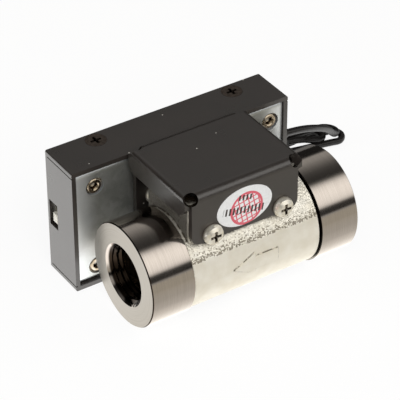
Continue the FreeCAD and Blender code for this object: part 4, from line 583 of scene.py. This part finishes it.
# painted light: towards the folds, over the last 5 mm, the zinc is painted brighter
plate_low, plate_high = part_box("back_plate")
plate_mid = tuple((low + high) / 2 for low, high in zip(plate_low, plate_high))
from_mid = add(tree, "VectorMath", {0: spot, 1: plate_mid}, operation="SUBTRACT")
out_of_mid = add(tree, "VectorMath", {0: from_mid.outputs["Vector"]}, operation="ABSOLUTE")
out_by = add(tree, "SeparateXYZ", {"Vector": out_of_mid.outputs["Vector"]})
lit_near_fold = add(tree, "MapRange", {"Value": out_by.outputs["X"], "From Min": plate_high[0] - plate_mid[0] - 0.005,
                                "From Max": plate_high[0] - plate_mid[0]})
brighter = add(tree, "Mix", {0: lit_near_fold.outputs["Result"], 6: sheet_tone.outputs["Color"], 7: srgb("#f0f4f6")},
               data_type="RGBA")
# painted highlight: faces turned off the plate's flat, at its bends, are painted blue-white
bend_highlighted = add(tree, "Mix", {0: bent.outputs["Result"], 6: brighter.outputs[2], 7: srgb("#e6ecf2")}, data_type="RGBA")
shine = add(tree, "MapRange", {"Value": cloud.outputs["Fac"], "To Min": 0.30, "To Max": 0.46})
ripple = add(tree, "Bump", {"Height": patch.outputs[0], "Strength": 0.10, "Distance": 0.0001})
tree.links.new(bend_highlighted.outputs[2], skin.inputs["Base Color"])
tree.links.new(shine.outputs["Result"], skin.inputs["Roughness"])
tree.links.new(ripple.outputs["Normal"], skin.inputs["Normal"])
wear("back_plate", zinc)


# Standoffs and clinch nuts: turned steel with a yellow zinc plate, pressed into the back plate.
# Their threads are cut after plating, so the bores are bright.
yellow_zinc, tree, skin, spot = new_finish("yellow_zinc_steel", metallic=1.0)
iridescent = add(tree, "TexNoise", {"Vector": spot, "Scale": 1 / 0.0008, "Detail": 3.0})
tone = add(tree, "ValToRGB", {"Fac": iridescent.outputs["Fac"]},
           ramp=((0.3, "#a3927b"), (0.55, "#c2b49e"), (0.7, "#dbd3c4")))
# painted shade: hollows found by ambient occlusion, in the bores and round the standoffs, are painted a darker
# brown-grey
pocket = add(tree, "AmbientOcclusion", {"Distance": 0.0006}, samples=8)
open_share = add(tree, "MapRange", {"Value": pocket.outputs["AO"], "From Min": 0.15, "From Max": 0.6})
ringed = add(tree, "Mix", {0: open_share.outputs["Result"], 6: srgb("#6e6152"), 7: tone.outputs["Color"]},
             data_type="RGBA")
shine = add(tree, "MapRange", {"Value": iridescent.outputs["Fac"], "To Min": 0.20, "To Max": 0.34})
tree.links.new(ringed.outputs[2], skin.inputs["Base Color"])
tree.links.new(shine.outputs["Result"], skin.inputs["Roughness"])
for node in ("plate_standoffs", "clinch_nuts"):
    wear(node, yellow_zinc)


# Box screws: countersunk steel screws, oil blackened, flush with the box's top and underside.
# They hold the moulded frame inside.
blackened, tree, skin, spot = new_finish("oil_blackened_steel", metallic=0.85)
bloom = add(tree, "TexNoise", {"Vector": spot, "Scale": 1 / 0.0006, "Detail": 3.0})
oxide = add(tree, "ValToRGB", {"Fac": bloom.outputs["Fac"]}, ramp=((0.3, "#4a413a"), (0.7, "#6b6058")))
# painted shade: the recess and the seams round the heads, found by ambient occlusion, are painted near black
pocket = add(tree, "AmbientOcclusion", {"Distance": 0.0008}, samples=8)
open_share = add(tree, "MapRange", {"Value": pocket.outputs["AO"], "From Min": 0.35, "From Max": 0.8})
darkened = add(tree, "Mix", {0: open_share.outputs["Result"], 6: srgb("#14100e"), 7: oxide.outputs["Color"]},
               data_type="RGBA")
shine = add(tree, "MapRange", {"Value": bloom.outputs["Fac"], "To Min": 0.28, "To Max": 0.40})
tree.links.new(darkened.outputs[2], skin.inputs["Base Color"])
tree.links.new(shine.outputs["Result"], skin.inputs["Roughness"])
wear("housing_screws", blackened)


# Sticker: a white printed film on the bracket's ear, with a red ring, a red hatch inside it and
# plain dark bars across.
sticker_low, sticker_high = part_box("ear_sticker")
sticker_mid = [(low + high) / 2 for low, high in zip(sticker_low, sticker_high)]
ring_mid, ring_radius, ring_band = (0.5, 0.0, -0.7), 3.7, 0.55
hatch_pitch, hatch_line = 0.6, 0.14
bar_pitch, bar_width, row_slope = 0.93, 0.45, 0.2
film, tree, skin, spot = new_finish("printed_white_film", ior=1.46)
from_mid = add(tree, "VectorMath", {0: spot, 1: tuple(sticker_mid)}, operation="SUBTRACT")
in_mm = add(tree, "VectorMath", {0: from_mid.outputs["Vector"], 1: (1000.0, 0.0, 1000.0)}, operation="MULTIPLY")
from_ring = add(tree, "VectorMath", {0: in_mm.outputs["Vector"], 1: ring_mid}, operation="SUBTRACT")
reach = add(tree, "VectorMath", {0: from_ring.outputs["Vector"]}, operation="LENGTH")
off_ring = add(tree, "Math", {0: reach.outputs["Value"], 1: ring_radius, 2: ring_band / 2}, operation="COMPARE")
inside = add(tree, "Math", {0: reach.outputs["Value"], 1: ring_radius}, operation="LESS_THAN")
red_share = off_ring.outputs[0]
for slant in ((1.0, 0.0, row_slope), (-row_slope, 0.0, 1.0)):
    along = add(tree, "VectorMath", {0: in_mm.outputs["Vector"], 1: slant}, operation="DOT_PRODUCT")
    to_line = add(tree, "Math", {0: along.outputs["Value"], 1: hatch_pitch}, operation="PINGPONG")
    line = add(tree, "Math", {0: to_line.outputs[0], 1: hatch_line}, operation="LESS_THAN")
    hatch = add(tree, "Math", {0: line.outputs[0], 1: inside.outputs[0]}, operation="MULTIPLY")
    red_share = add(tree, "Math", {0: hatch.outputs[0], 1: red_share}, operation="MAXIMUM").outputs[0]
# the bars: two rows of short strokes, which run level rather than along the oval
along_row = add(tree, "VectorMath", {0: in_mm.outputs["Vector"], 1: (1.0, 0.0, -row_slope)}, operation="DOT_PRODUCT")
up_row = add(tree, "VectorMath", {0: in_mm.outputs["Vector"], 1: (row_slope, 0.0, 1.0)}, operation="DOT_PRODUCT")
dark_share = None
for mid_x, half_row, mid_z, half_bar in ((-0.3, 1.75, 2.1, 0.65), (-0.1, 5.1, -0.95, 0.85)):
    in_row = add(tree, "Math", {0: along_row.outputs["Value"], 1: mid_x, 2: half_row}, operation="COMPARE")
    in_line = add(tree, "Math", {0: up_row.outputs["Value"], 1: mid_z, 2: half_bar}, operation="COMPARE")
    step_at = add(tree, "Math", {0: along_row.outputs["Value"], 1: bar_pitch}, operation="FLOORED_MODULO")
    bar = add(tree, "Math", {0: step_at.outputs[0], 1: bar_width}, operation="LESS_THAN")
    both_ways = add(tree, "Math", {0: in_row.outputs[0], 1: in_line.outputs[0]}, operation="MULTIPLY")
    row_share = add(tree, "Math", {0: both_ways.outputs[0], 1: bar.outputs[0]}, operation="MULTIPLY")
    if dark_share:
        row_share = add(tree, "Math", {0: row_share.outputs[0], 1: dark_share}, operation="MAXIMUM")
    dark_share = row_share.outputs[0]
fibre = add(tree, "TexNoise", {"Vector": spot, "Scale": 1 / 0.0006, "Detail": 2.0})
white = add(tree, "ValToRGB", {"Fac": fibre.outputs["Fac"]}, ramp=((0.3, "#dedfdf"), (0.7, "#e8e9ea")))
reddened = add(tree, "Mix", {0: red_share, 6: white.outputs["Color"], 7: srgb("#d6606e")}, data_type="RGBA")
printed = add(tree, "Mix", {0: dark_share, 6: reddened.outputs[2], 7: srgb("#38312f")}, data_type="RGBA")
shine = add(tree, "MapRange", {"Value": fibre.outputs["Fac"], "To Min": 0.34, "To Max": 0.44})
tree.links.new(printed.outputs[2], skin.inputs["Base Color"])
tree.links.new(shine.outputs["Result"], skin.inputs["Roughness"])
wear("ear_sticker", film)


# Digit block: a black moulded block with three windows of seven milky segments, soldered to the
# board. The lamps are off, so the segments are a dull pinkish grey.
wear("led_module", grained("moulded_black_polycarbonate", "#161414", "#242020", 0.35, 0.40, 0.55, ior=1.58,
                           strength=0.15))
led_low, led_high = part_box("led_module")
digit_height, digit_width, stroke, digit_lean, point_gap = 0.0104, 0.0056, 0.0012, 0.10, 0.0014
digit_pitch = (led_high[0] - led_low[0]) / 3
# each segment is a thin plate that lies just in front of the block's face
segment_front, segment_wall = led_high[1] + 0.000035, 0.00003
half_w, half_h, nib = digit_width / 2, digit_height / 2, stroke / 2
level_bar = [(-half_w + nib, 0), (-half_w + 2 * nib, nib), (half_w - 2 * nib, nib), (half_w - nib, 0),
             (half_w - 2 * nib, -nib), (-half_w + 2 * nib, -nib)]
upright_bar = [(0, nib * 0.4), (nib, nib * 1.4), (nib, half_h - nib * 1.4), (0, half_h - nib * 0.4),
               (-nib, half_h - nib * 1.4), (-nib, nib * 1.4)]
made = bmesh.new()
for digit in range(3):
    middle_x = led_low[0] + digit_pitch * (digit + 0.5)
    middle_z = (led_low[2] + led_high[2]) / 2
    outlines = [[(x, z + shift) for x, z in level_bar] for shift in (-half_h, 0.0, half_h)]
    outlines += [[(x + side, z + foot) for x, z in upright_bar]
                 for side in (-half_w, half_w) for foot in (-half_h, 0.0)]
    point_x, point_z = -half_w - point_gap, -half_h
    outlines.append([(point_x + nib * math.cos(turn * math.pi / 8), point_z + nib * math.sin(turn * math.pi / 8))
                     for turn in range(16)])
    for outline in outlines:
        front, rear = ([made.verts.new((middle_x + x - digit_lean * z, y, middle_z + z)) for x, z in outline]
                       for y in (segment_front, segment_front - segment_wall))
        made.faces.new(front)
        made.faces.new(rear)
        for step in range(len(outline)):
            made.faces.new((front[step - 1], front[step], rear[step], rear[step - 1]))
bmesh.ops.recalc_face_normals(made, faces=made.faces)
segment_mesh = bpy.data.meshes.new("digit_segments")
made.to_mesh(segment_mesh)
made.free()
segments = bpy.data.objects.new("digit_segments", segment_mesh)
scene.collection.objects.link(segments)
segment_mesh.materials.append(grained("milky_segment_epoxy", "#a78f8b", "#bda5a0", 0.3, 0.35, 0.45, ior=1.54))
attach(segments, "meter")


# Window and its frame: the window is smoked red acrylic sheet, cut and polished, and its lip is
# held behind the box's opening by a black ABS frame that the box's screws bite into.
smoked, tree, skin, spot = new_finish("smoked_red_acrylic", ior=1.49)
skin.inputs["Transmission Weight"].default_value = 0.85
haze = add(tree, "TexNoise", {"Vector": spot, "Scale": 1 / 0.005, "Detail": 3.0})
tint = add(tree, "ValToRGB", {"Fac": haze.outputs["Fac"]}, ramp=((0.3, "#4a1512"), (0.7, "#551a15")))
shine = add(tree, "MapRange", {"Value": haze.outputs["Fac"], "To Min": 0.04, "To Max": 0.10})
dress(tree, skin, tint, shine)
wear("display_window", smoked)
wear("display_frame", grained("moulded_black_abs", "#161616", "#222222", 0.35, 0.42, 0.56, ior=1.54, strength=0.2))


# Slide switch: a tin-plated steel case on the board, with a white nylon knob that slides up
# behind the slot in the box's side.
wear("switch_body", grained("tin_plated_steel", "#a9a7a0", "#cfcdc6", 0.5, 0.26, 0.40, metallic=1.0, strength=0.1))
wear("switch_knob", grained("moulded_white_nylon", "#e6e2d6", "#f0ede3", 0.4, 0.30, 0.42, ior=1.53, strength=0.08))
